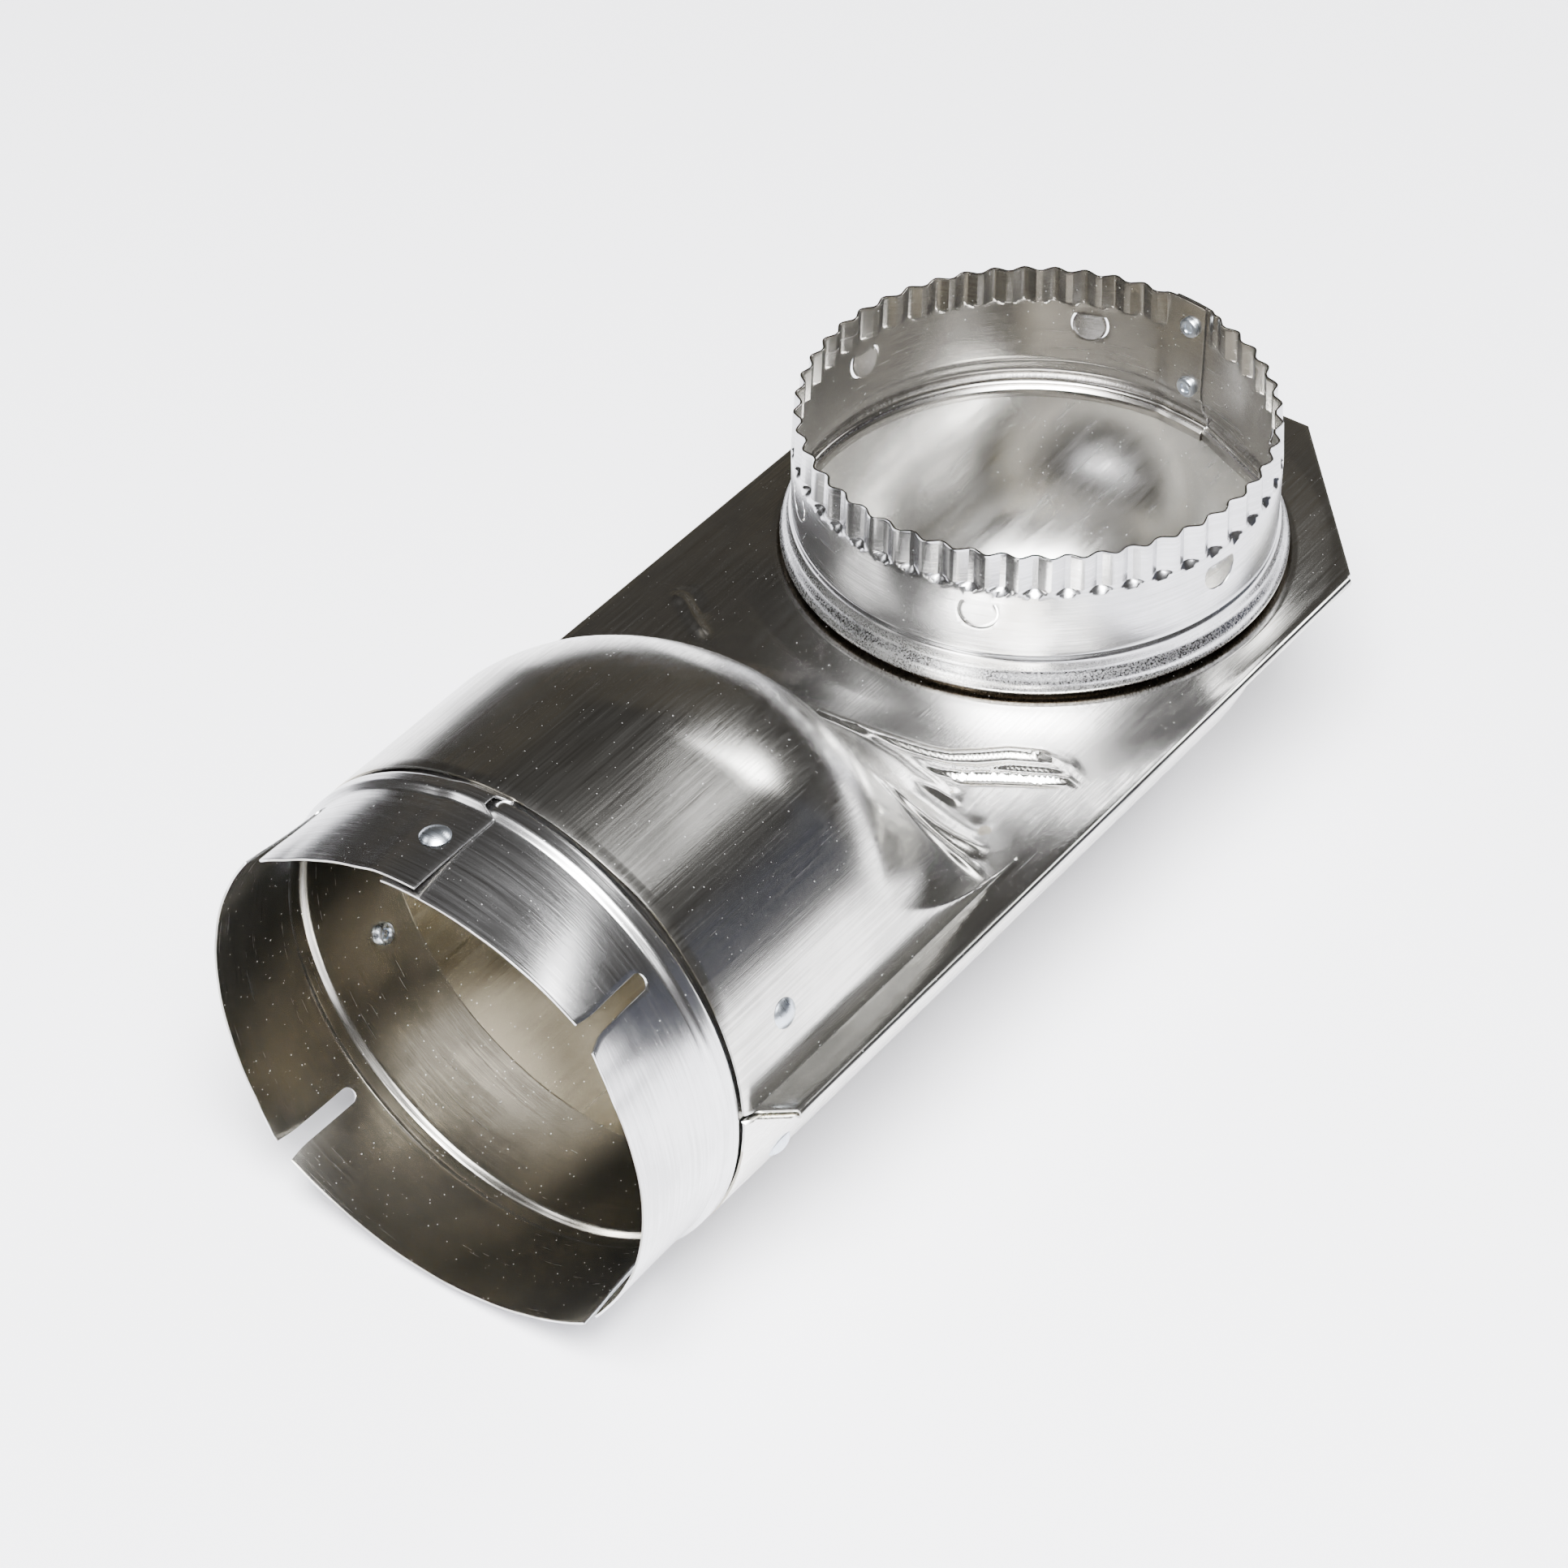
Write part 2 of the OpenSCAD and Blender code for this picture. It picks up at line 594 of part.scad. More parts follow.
// A tubular rivet along +Z: domed head outside, shank, and a tail rolled over a hollow inside
module rivet(seat_r, inner_r) {
    dome_r = (pow(rivet_head_r, 2) + pow(rivet_head_h, 2)) / (2 * rivet_head_h);
    dome_a = asin(rivet_head_r / dome_r);
    hollow_r = rivet_shank_r * 0.6;
    roll_r = (rivet_tail_r - hollow_r) / 2;
    roll_z = inner_r - rivet_tail_h + roll_r;
    rotate_extrude($fn = 48) polygon(concat(
        [[0, roll_z + roll_r / 3]],
        arc([hollow_r + roll_r, roll_z], roll_r, 180, 360),
        [[rivet_tail_r, inner_r], [rivet_shank_r, inner_r], [rivet_shank_r, seat_r]],
        arc([0, seat_r + rivet_head_h - dome_r], dome_r, 90 - dome_a, 90)));
}

// A body rivet, through a half pipe and the collar's sleeve inside it
module body_rivet(angle) {
    color(rivet_grey) placed() on_pipe(body_rivet_at - pipe_front, angle)
        rivet(pipe_r, inlet_bore_r - tail_play);
}

module upper_rivet_right() {
    body_rivet(180 - upper_rivet_tilt);
}

module upper_rivet_left() {
    body_rivet(upper_rivet_tilt);
}

module lower_rivet_right() {
    body_rivet(180 + lower_rivet_tilt);
}

module lower_rivet_left() {
    body_rivet(-lower_rivet_tilt);
}

module inlet_seam_rivet() {
    color(rivet_grey) placed() on_pipe(inlet_rim_x + seam_rivet_at, seam_rivet_angle)
        rivet(inlet_wall_r + sheet_t, inlet_bore_r - tail_play);
}

module outlet_seam_rivet(z) {
    color(rivet_grey) placed() on_outlet(z, outlet_seam_angle)
        rivet(outlet_band_r, outlet_band_r - 2 * sheet_t - tail_play);
}

module outlet_seam_rivet_low() {
    outlet_seam_rivet(low_rivet_z);
}

module outlet_seam_rivet_high() {
    outlet_seam_rivet(high_rivet_z);
}

upper_shell();
lower_shell();
inlet_collar();
outlet_collar();
upper_rivet_right();
upper_rivet_left();
lower_rivet_right();
lower_rivet_left();
inlet_seam_rivet();
outlet_seam_rivet_low();
outlet_seam_rivet_high();
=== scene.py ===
# %% [markdown]
# # An offset elbow for a clothes dryer vent
#
# The real part is a flat housing of two pressed aluminium sheets, with a slotted collar riveted
# into one end and a crimped collar that turns in a round hole on top. Everything here is bent
# from sheet half a millimetre thick. So the whole lesson is about one question: how to write a
# bent sheet as a formula, put it in a mesh as arrays, and give it the skin of real aluminium.
#
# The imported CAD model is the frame. It says where the outlet's axis is and how large each sheet
# is, and the visible sheets are worked out around it.

import json

import bmesh
import bpy
import numpy as np
from mathutils import Matrix, Vector


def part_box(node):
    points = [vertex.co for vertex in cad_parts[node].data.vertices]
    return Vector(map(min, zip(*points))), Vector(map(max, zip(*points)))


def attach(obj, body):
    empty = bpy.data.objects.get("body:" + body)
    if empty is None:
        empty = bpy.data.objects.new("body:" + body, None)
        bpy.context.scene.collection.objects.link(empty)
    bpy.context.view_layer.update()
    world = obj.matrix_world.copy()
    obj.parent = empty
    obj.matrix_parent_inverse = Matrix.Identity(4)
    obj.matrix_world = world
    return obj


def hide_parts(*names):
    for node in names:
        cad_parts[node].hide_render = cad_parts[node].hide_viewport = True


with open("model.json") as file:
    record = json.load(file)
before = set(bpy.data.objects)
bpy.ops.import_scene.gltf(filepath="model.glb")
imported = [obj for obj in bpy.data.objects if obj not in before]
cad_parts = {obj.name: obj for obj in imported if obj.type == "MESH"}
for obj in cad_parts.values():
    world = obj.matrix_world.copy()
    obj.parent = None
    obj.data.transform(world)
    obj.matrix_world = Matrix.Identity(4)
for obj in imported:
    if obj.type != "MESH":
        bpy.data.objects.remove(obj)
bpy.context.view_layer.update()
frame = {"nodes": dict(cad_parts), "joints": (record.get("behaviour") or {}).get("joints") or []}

# %% [markdown]
# ## Sizes
#
# Lengths below are millimetres, because that is how a sheet metal worker thinks. The work
# origin is the point where the outlet's axis meets the top of the flange. X runs towards the
# closed end and Z points up the outlet. The swivel joint of the frame gives that point, and the
# boxes of the two collars' CAD nodes give the inlet's rim, its length and the outlet's height, so
# these can't drift away from the frame. The other sizes were measured in the photograph through
# the same camera that renders it below.

# %% Sizes of the sheets
MM = 1000.0
swivel_at = np.array(frame["joints"][0]["pos_m"]) * MM


def cad_size(node):
    """Lowest and highest corner of a CAD node, in millimetres from the work origin."""
    low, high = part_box(node)
    return np.array(low) * MM - swivel_at, np.array(high) * MM - swivel_at


inlet_low, inlet_high = cad_size("inlet_collar")
outlet_low, outlet_high = cad_size("outlet_collar")

# Thickness of every sheet
sheet = 0.5
# The half pipes: outside radius, radius to the middle of the sheet, front edge, and how far
# their axis lies below the flange's top
pipe_r = 53.0
pipe_mid = pipe_r - sheet / 2
pipe_front = -170.6
axis_drop = 1.6
# The slotted collar: its rim, its length, and the radius to the middle of its sheet
inlet_rim = inlet_low[0]
inlet_len = inlet_high[0] - inlet_rim
inlet_mid = 51.65
# The crimped collar: height of its rim, and the radius to the middle of its plain band
outlet_h = outlet_high[2]
band_mid = 50.15
print("half pipes %.1f mm in radius, inlet rim at %.1f" % (pipe_r, inlet_rim))
print("crimped collar from %.1f to %.1f mm over the flange" % (outlet_low[2], outlet_h))

# %% [markdown]
# ## From a grid of points to a bent sheet
#
# Each sheet is a function of two numbers: along and across. Both are arrays, so one expression
# gives every point at once. A grid becomes quads by index arithmetic. Several grids of one sheet
# are joined, their shared edges are merged, and a Solidify modifier then gives the sheet its
# real thickness, half to each side. A narrow bevel rounds the cut edges, because it is the thin
# bright line on a cut edge that makes a sheet look like metal.
#
# The same sheets could be pulled out of a plane by hand with Extrude and Boolean. Formulas were
# chosen because a size can still be changed at the end, and because grids stay clean quads.

# %% Grids, joining and thickness
def grid(points, keep=None):
    """Points shaped (rows, columns, 3) as a flat list with the quads between neighbours. keep is
    an array of (rows - 1, columns - 1) that is False where a cell is left open."""
    rows, cols = points.shape[:2]
    corner = np.arange(rows - 1)[:, None] * cols + np.arange(cols - 1)[None, :]
    quads = np.stack([corner, corner + 1, corner + cols + 1, corner + cols], axis=-1)
    if keep is not None:
        quads = quads[keep]
    return points.reshape(-1, 3), quads.reshape(-1, 4)


def joined(parts):
    """Several (points, quads) as one, each with its indices moved past those before it."""
    starts = np.cumsum([0] + [len(points) for points, _ in parts[:-1]])
    return (np.concatenate([points for points, _ in parts]),
            np.concatenate([quads + start for (_, quads), start in zip(parts, starts)]))


def stack(x, y, z):
    """Three arrays that broadcast together, as points."""
    return np.stack(np.broadcast_arrays(x, y, z), axis=-1)


def new_mesh(name, points, quads):
    """A mesh from arrays in work millimetres, moved to the frame's metres, with loose points left
    out and doubled points merged."""
    mesh = bpy.data.meshes.new(name)
    mesh.from_pydata((points + swivel_at) / MM, [], quads.tolist())
    work = bmesh.new()
    work.from_mesh(mesh)
    bmesh.ops.delete(work, geom=[v for v in work.verts if not v.link_faces], context="VERTS")
    bmesh.ops.remove_doubles(work, verts=work.verts, dist=4e-6)
    bmesh.ops.recalc_face_normals(work, faces=work.faces)
    work.to_mesh(mesh)
    work.free()
    return mesh


def settle(piece, sharp=40):
    """Replaces the live modifiers by the mesh that they make, shaded smooth below an angle."""
    graph = bpy.context.evaluated_depsgraph_get()
    made = bpy.data.meshes.new_from_object(piece.evaluated_get(graph))
    old = piece.data
    piece.modifiers.clear()
    piece.data = made
    bpy.data.meshes.remove(old)
    made.shade_smooth()
    made.set_sharp_from_angle(angle=np.radians(sharp))
    return piece


def sheet_piece(name, parts, body, node, sharp=40, round_edge=0.12):
    """One bent sheet: its middle surface, thickened, with rounded edges, standing for a node.
    Bends sharper than an angle in degrees are shaded as edges."""
    piece = bpy.data.objects.new(name, new_mesh(name, *joined(parts)))
    bpy.context.scene.collection.objects.link(piece)
    wall = piece.modifiers.new("wall", "SOLIDIFY")
    wall.thickness = sheet / MM
    wall.offset = 0
    wall.use_even_offset = True
    edge = piece.modifiers.new("edge", "BEVEL")
    edge.width = round_edge / MM
    edge.segments = 2
    edge.limit_method = "ANGLE"
    edge.angle_limit = np.radians(60)
    settle(piece, sharp)
    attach(piece, body)
    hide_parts(node)
    print(name, len(piece.data.polygons), "faces")
    return piece


def smooth(t):
    """Smooth step: 0 below 0, 1 above 1, with no corner in between."""
    t = np.clip(t, 0, 1)
    return t * t * (3 - 2 * t)


# %% [markdown]
# ## The waves of a hand-worked sheet
#
# A pressed sheet is never a perfect cylinder or plane. It is about a tenth of a millimetre out
# over a few centimetres, which is far too little to see as a shape, but enough to bend every
# reflection. A Displace modifier with a cloud texture could do that. A sum of a few long sine
# waves in fixed random directions is smoother, and it is the same in every run.

# %% Slow waves
def waves(a, b, seed, length=30.0, count=7):
    """Sum of sine waves over two coordinates in millimetres, between about -1.5 and 1.5.
    Directions, lengths and phases come from a seeded generator."""
    draw = np.random.default_rng(seed)
    total = np.zeros(np.broadcast(a, b).shape)
    for _ in range(count):
        aim = draw.uniform(0, 2 * np.pi)
        stretch = draw.uniform(0.6, 1.8)
        phase = draw.uniform(0, 6.3)
        k = 2 * np.pi / (length * stretch)
        total = total + np.sin(k * (a * np.cos(aim) + b * np.sin(aim)) + phase)
    return total / np.sqrt(count)


def ring_waves(turn, along, seed, length=30.0):
    """Slow waves that close on themselves round a ring about 50 mm in radius, from degrees round
    it and millimetres along it."""
    a = np.radians(turn)
    return waves(50 * np.cos(a) + 0.8 * along, 50 * np.sin(a) - 0.5 * along, seed, length)


test_square = np.mgrid[0:60:2.0, 0:60:2.0]
print("largest wave on a test square: %.2f" % np.abs(waves(*test_square, 3)).max())

# %% [markdown]
# ## The drawn dome
#
# The upper shell is a half pipe that falls in an S-curve to the flat flange. Seen as a height
# above the flange, it is the lower of two heights: the round of the pipe across, and the S-curve
# along. The S-curve is a crown arc that runs into a root arc. Where the two heights meet, the
# real sheet has a soft mitre, so the lower one is taken with a smooth minimum. Sculpting could
# give the same form by eye, but a height formula keeps the radii of the press tool.
#
# At the foot the metal had to shrink when it was drawn, so it folded into wrinkles. Each wrinkle
# is a line seen from above, with a rounded ridge or furrow along it that fades at both ends.

# %% Height of the dome
crown_r, root_r = 55 - sheet / 2, 30 + sheet / 2
crown_line = 1.9
mitre_soft, mitre_grows = 6, 20
flange_mid = -sheet / 2
rise = pipe_mid - axis_drop - flange_mid
fall_turn = np.arccos(1 - rise / (crown_r + root_r))
fall_len = (crown_r + root_r) * np.sin(fall_turn)
crown_len = crown_r * np.sin(fall_turn)
dome_foot = -62.0
fall_start = dome_foot - fall_len


def pipe_height(y):
    """Height of the half pipe's middle surface over the flange's."""
    return np.sqrt(np.maximum(pipe_mid ** 2 - y ** 2, 0)) - axis_drop - flange_mid


def fall_height(x, y):
    """S-curve of the sloping end: a crown arc, then a root arc, against the distance from the
    rounded line where the fall starts."""
    d = np.hypot(np.maximum(x - fall_start + crown_line, 0), y) - crown_line
    crown = rise - crown_r + np.sqrt(crown_r ** 2 - np.clip(d, 0, crown_len) ** 2)
    root = root_r - np.sqrt(root_r ** 2 - np.clip(fall_len - d, 0, root_r) ** 2)
    return np.where(d <= 0, rise, np.where(d < crown_len, crown, np.where(d < fall_len, root, 0)))


def soft_min(a, b, k):
    """The lower of two heights, blended over k where they are close."""
    h = np.clip(0.5 + 0.5 * (b - a) / k, 0, 1)
    return b * (1 - h) + a * h - k * h * (1 - h)


def near_line(x, y, line):
    """Distance to a line of straight runs seen from above, and the place along it from 0 to 1."""
    line = np.array(line, float)
    runs = np.hypot(*np.diff(line, axis=0).T)
    starts = np.concatenate([[0], np.cumsum(runs)])
    best, place = np.full(x.shape, 1e9), np.zeros(x.shape)
    for a, b, run, start in zip(line[:-1], line[1:], runs, starts):
        s = np.clip(((x - a[0]) * (b[0] - a[0]) + (y - a[1]) * (b[1] - a[1])) / run ** 2, 0, 1)
        d = np.hypot(x - a[0] - s * (b[0] - a[0]), y - a[1] - s * (b[1] - a[1]))
        closer = d < best
        best = np.where(closer, d, best)
        place = np.where(closer, (start + s * run) / starts[-1], place)
    return best, place


def ridge(x, y, line, height, half_width, ends=0.25):
    """A rounded ridge along a line: height times a bell curve of the distance, faded at the ends."""
    d, s = near_line(x, y, line)
    fade = smooth(np.minimum(s, 1 - s) / ends + 0.15)
    return height * np.exp(-(d / half_width) ** 2) * fade


# %% Wrinkles at the foot, each a line with its height and half width
wrinkles = [
    # Flutes that run from the crown's foot to the side and meet there
    ([(-76, 14), (-73.6, 4), (-72.3, -3.8), (-70.4, -12.4), (-68.3, -20.9), (-66.7, -25),
      (-62.7, -30.1), (-59, -34.1), (-55.9, -39.8), (-54.8, -46.2), (-56.6, -50)], 1.2, 1.2),
    ([(-72.5, -17.2), (-71.1, -22.8), (-69.5, -27), (-66.2, -32.6), (-62.3, -36.4), (-59.6, -41.1),
      (-57.1, -45.9), (-57.2, -49.2)], 0.8, 0.9),
    ([(-73, -20.8), (-71.7, -26.6), (-69.5, -31), (-65.7, -36.1), (-62, -42.7), (-58.7, -48.2),
      (-59.3, -51.5)], 0.9, 0.8),
    ([(-72.2, -25), (-70.9, -31.3), (-66.9, -37), (-62.8, -43.3), (-60.4, -48.1)], -0.5, 0.9),
    ([(-71.9, -3.5), (-72.8, -10.8), (-73.4, -17.9), (-75.4, -25.9), (-77.2, -33.7)], 0.45, 1.2),
    ([(-78.6, -24.9), (-77.8, -29.6), (-77.7, -34.1), (-73.6, -31.8)], 0.5, 1.0),
    # The pocket in the near corner: two creases with a furrow between, and its floor
    ([(-88.5, -19), (-89.4, -24.1), (-90.5, -30), (-91.6, -37.3), (-92.5, -44.4),
      (-93.3, -52)], 0.8, 1.1),
    ([(-88.3, -26), (-89.5, -36), (-90, -43), (-89.5, -50)], -0.9, 1.9),
    ([(-86.5, -21), (-87.2, -26.4), (-87.6, -32), (-88, -36.5), (-87.7, -41), (-86.5, -45.3),
      (-84.5, -48.2)], 0.6, 1.1),
    ([(-82.5, -26), (-82, -36), (-81, -45)], -0.6, 3.2),
    # Dents on the far side
    ([(-57.1, 50.3), (-59.4, 45.8), (-62.6, 41.2), (-65.9, 35.6)], 0.9, 1.2),
    ([(-54.9, 49.8), (-57.4, 44.6), (-60.8, 39.8)], -0.4, 1.3),
]
wrinkles_from, wrinkles_side = -100, 58

# The near flank of the pipe bulges a little along this line: height, half width and fade
bulge = ([(-190, -32.6), (-95, -32.6)], 0.9, 9, 0.2)


def dome_height(x, y):
    """Middle surface of the upper shell over the flange's: the smooth minimum of pipe and fall,
    with the bulge and the wrinkles. The mitre softens as the fall goes on, and it sharpens again
    towards the flange."""
    a, b = pipe_height(y), fall_height(x, y)
    grow = np.clip((x - fall_start) / mitre_grows, 0, 1)
    k = np.maximum(mitre_soft * grow * np.clip(np.minimum(a, b) / 30, 0.04, 1), 0.01)
    base = np.maximum(np.where(np.abs(y) < pipe_mid, soft_min(a, b, k), 0), 0)
    base = base + ridge(x, y, *bulge)
    folds = sum(ridge(x, y, *wrinkle) for wrinkle in wrinkles)
    return base + folds * smooth((x - wrinkles_from) / 6) * smooth((wrinkles_side - np.abs(y)) / 4)


print("the dome rises %.1f mm and falls over %.1f mm" % (rise, fall_len))

# %% [markdown]
# ## The upper shell
#
# It is one sheet in four grids that share their edges. The first covers the half pipe, the
# dome and the flange beside them. Its columns are equal angles round the pipe, which keeps them
# close together where the wall is steep. The second runs in rays from the round hole to the
# outline, with the raised seat of the outlet in its height. The last two are the hems: the edge
# of the sheet folded under, a half circle and a short leg, carried along both long sides.
#
# One plane cut to the outline with Boolean would be quicker to make. But the cut would leave long
# thin faces, and on polished metal they show as creases in the reflections.

# %% Outline and front edge
# Half the width over the hems, the radius of their fold, and the line where it starts
flange_half = 60.3
fold_mid = 0.8
hem_line = flange_half - fold_mid - sheet / 2
hem_w = 6.0
# Front edge at the hems, and how much further forward it is beside the pipe
flange_front = -162.2
front_slant = 6.3
# Closed end, half its width, and where the cut corners start
flange_end = 67.1
end_half = flange_half - 34.9
corner_start = flange_end - 39.3
# Where the grid of the dome ends and the rays from the hole take over
patch_end = -57.45
# The seat round the hole: radius of its flat top, radius of its foot, height and curve
seat_top_r, seat_foot_r, seat_h, seat_curve = 54.6, 62.0, 0.9, 1.2


def reach(angle, half, end, corner, front):
    """Distance from the outlet's axis to the outline along each angle. The outline is convex, so
    it is the nearest of its straight sides: distance over the cosine to the side's normal."""
    (x0, y0), (x1, y1) = corner
    slope = np.array([y0 - y1, x1 - x0])
    slope = slope / np.hypot(*slope)
    cut = slope @ np.array([x1, y1])
    sides = [(0, 1, half), (0, -1, half), (1, 0, end), (-1, 0, -front),
             (slope[0], slope[1], cut), (slope[0], -slope[1], cut)]
    facing = [nx * np.cos(angle) + ny * np.sin(angle) for nx, ny, _ in sides]
    far = [np.where(c > 1e-6, d / np.maximum(c, 1e-6), 1e9) for c, (_, _, d) in zip(facing, sides)]
    return np.min(far, axis=0)


def seat_height(x, y):
    """The low cone that is pressed up round the outlet hole: flat out to the top's radius, then a
    slope that dies out at its foot, nearer by where the sheet's edge is close."""
    r = np.hypot(x, y)
    foot = np.minimum(seat_foot_r, (hem_line - 0.8) * r / np.maximum(np.abs(y), 1.0))
    down = (r - seat_top_r) / np.maximum(foot - seat_top_r, 0.5)
    return seat_h * np.clip(1 - down, 0, 1) ** seat_curve


def front_x(y, front=flange_front):
    """Slanted front edge of the flange, further forward beside the pipe than at the hem."""
    return front - front_slant * (flange_half - np.abs(y)) / (flange_half - pipe_r + sheet)


print("flange %.1f mm wide, seat %.1f mm high" % (2 * flange_half, seat_h))

# %% Half pipe, dome and the flange beside them
crease = np.arcsin((axis_drop + flange_mid) / pipe_mid)
across = np.linspace(crease, np.pi - crease, 181)
side_y = np.linspace(hem_line, pipe_mid * np.cos(crease), 7)[:-1]
dome_y = np.concatenate([-side_y, -pipe_mid * np.cos(across), side_y[::-1]])
dome_y[np.abs(dome_y) < 1e-9] = 0
in_pipe = np.abs(dome_y) < pipe_mid * np.cos(crease) - 1e-6

start_x = np.where(in_pipe, pipe_front, front_x(dome_y))
front_rows = np.linspace(0, 1, 12)[:, None] * (fall_start - start_x) + start_x
fine_from = -98
dome_rows = np.concatenate([np.linspace(fall_start, fine_from, 24)[1:],
                            np.linspace(fine_from, patch_end, 74)[1:]])
dome_x = np.concatenate([front_rows, np.repeat(dome_rows[:, None], len(dome_y), axis=1)])
dome_yy = np.broadcast_to(dome_y, dome_x.shape)
height = dome_height(dome_x, dome_yy)
wave_h = 0.10 * np.clip(height / 3, 0, 1) * smooth((patch_end - dome_x) / 8)
height = height + wave_h * waves(dome_x, dome_yy, 5, 34)
height = height + seat_height(dome_x, dome_yy)
dome_grid = stack(dome_x, dome_yy, flange_mid + height)
print("dome grid", dome_grid.shape[:2])

# %% Flange round the outlet hole, with its raised seat
from_axis = np.arctan2(dome_y[dome_y <= 0], patch_end)
from_axis[-1] = -np.pi
foot_turn = np.arctan2(-hem_line, patch_end)
corner = ((corner_start, flange_half), (flange_end, end_half))
corner_run = (flange_end - corner_start) / (flange_half - end_half)
corner_x = corner_start + (flange_half - hem_line) * corner_run
at_corners = np.arctan2([hem_line, hem_line, end_half], [corner_start, corner_x, flange_end])
plate_turn = np.concatenate([np.linspace(foot_turn, -foot_turn, 250)[1:-1], at_corners, -at_corners])
plate_turn = np.unique(np.round(plate_turn, 8))
rays = np.concatenate([from_axis[::-1], plate_turn, -from_axis])

edge_r = reach(rays, hem_line, flange_end, corner, patch_end)
# Radii of the rows over the seat, close together at the edge of its flat top
ring_rows = np.array([50.95, 51.6, 52.6, 53.6, 54.2, 54.4, 54.6, 54.9, 55.3, 55.8, 56.3, 56.8])
out = np.linspace(0, 1, 15)[1:, None]
plate_r = np.concatenate([np.repeat(ring_rows[:, None], len(rays), axis=1),
                          ring_rows[-1] + out * (edge_r - ring_rows[-1])])
plate_x, plate_y = plate_r * np.cos(rays), plate_r * np.sin(rays)
flat_from, flat_over = -50, 4
foot_z = dome_height(np.minimum(plate_x, flat_from), plate_y) * smooth((flat_from - plate_x) / flat_over)
plate_z = flange_mid + seat_height(plate_x, plate_y) + foot_z
plate_grid = stack(plate_x, plate_y, plate_z)
print("plate grid", plate_grid.shape[:2])

# %% Hems
hem_turn = np.linspace(0, np.pi, 9)
leg_middle = -2.5
hem_out = np.concatenate([fold_mid * np.sin(hem_turn), [leg_middle, flange_half - hem_w - hem_line]])
hem_z = np.concatenate([flange_mid - fold_mid + fold_mid * np.cos(hem_turn),
                        np.full(2, flange_mid - 2 * fold_mid)])
edge_x, edge_y = plate_grid[-1, :, 0], plate_grid[-1, :, 1]
along_side = (np.abs(edge_y - hem_line) < 1e-5) & (edge_x <= corner_start + 1e-4)
hem_x = np.concatenate([dome_x[:, 0], np.sort(edge_x[along_side])])
hem_x = hem_x[np.concatenate([[True], np.diff(hem_x) > 1e-5])]
hems = [stack(hem_x[:, None], side * (hem_line + hem_out), hem_z) for side in (-1, 1)]
upper_parts = [grid(part) for part in [dome_grid, plate_grid] + hems]
upper_sheet = sheet_piece("upper_sheet", upper_parts, "housing", "upper_shell")

# %% [markdown]
# ## The lower shell
#
# The trough and the bowl are one grid. Its rows run along the pipe, and beyond the outlet's axis
# they go on as slices of a ball with the same radius, down to a point at the closed end. The
# flange beside it starts on the trough's rim and ends on the outline. A half cylinder and a
# quarter ball could be joined instead, but one grid has no seam for the light to find.

# %% Outline of the lower flange
tray_inset, flange_gap = 0.8, 0.6
tray_mid = -(sheet + flange_gap + sheet / 2)
tray_half = hem_line - 0.1
tray_end = flange_end - tray_inset
tray_corner_half = flange_half - tray_inset
tray_corner = ((corner_start, tray_corner_half), (tray_end, end_half))
tray_corner_run = (tray_end - corner_start) / (tray_corner_half - end_half)
tray_corner_x = corner_start + (tray_corner_half - tray_half) * tray_corner_run
print("the lower flange's middle lies %.2f mm below the upper one's top" % -tray_mid)

# %% Trough and bowl
ball_corners = np.arctan2([tray_corner_x, tray_end], [tray_half, end_half])
ball = np.unique(np.round(np.concatenate([np.linspace(0, np.pi / 2, 61), ball_corners]), 8))
ball[-1] = np.pi / 2
trough_s = np.linspace(0, 1, 60)
trough_x = np.concatenate([pipe_front * (1 - trough_s), pipe_mid * np.sin(ball[1:])])
slice_r = np.concatenate([np.full(len(trough_s), pipe_mid), pipe_mid * np.cos(ball[1:])])
round_t = np.linspace(0, np.pi, 161)
belly_wave = 0.03 * np.sin(round_t) * waves(trough_x[:, None], round_t * 40, 11, 38)
belly_r = slice_r[:, None] - np.abs(belly_wave * slice_r[:, None] / pipe_mid)
trough = stack(trough_x[:, None], belly_r * np.cos(round_t), -axis_drop - belly_r * np.sin(round_t))
near_rim, far_rim = [trough[:, [i]] * [1, 1, 0] + [0, 0, tray_mid] for i in (0, -1)]
trough = np.concatenate([near_rim, trough, far_rim], axis=1)
print("trough and bowl", trough.shape[:2])

# %% Flange of the lower shell
no_front, tray_step = -400, 1.4
out = np.linspace(0, 1, 7)
edge_at = reach(np.pi / 2 - ball, tray_half, tray_end, tray_corner, no_front)
flanges = []
for side in (1, -1):
    y_out = pipe_mid + out * (tray_half - pipe_mid)
    tray_front = np.where(out == 0, pipe_front, front_x(y_out, flange_front - tray_step))
    straight = stack(tray_front * (1 - trough_s[:, None]), side * y_out, tray_mid)
    r = pipe_mid + out * (edge_at[1:, None] - pipe_mid)
    curved = stack(r * np.sin(ball[1:, None]), side * r * np.cos(ball[1:, None]), tray_mid)
    flanges.append(np.concatenate([straight, curved]))

lower_sheet = sheet_piece("lower_sheet", [grid(trough)] + [grid(flange) for flange in flanges],
                          "housing", "lower_shell")

# %% [markdown]
# ## The slotted collar
#
# It is a strip rolled into a ring, a little longer than once round, so that it overlaps itself.
# The strip is cut in from the rim by four slots into five leaves. Each leaf is a grid whose two
# side edges follow the slots: they stand apart by the slot's width, and behind the slot's round
# end they meet on the same line, where the doubled points merge into one sheet again. The last
# leaf ends in the lap seam, and there the end of its bead is cut back in a curve. Boolean could
# cut the slots out of a finished tube, but then the leaves couldn't be bent one by one.

# %% Sizes of the slotted collar
# Start and end of the strip and the slots' middles, in degrees from +Y to +Z
lap_start, lap_end = 83.4, 452.5
slot_at = np.array([137.0, 225.0, 314.7, 405.0])
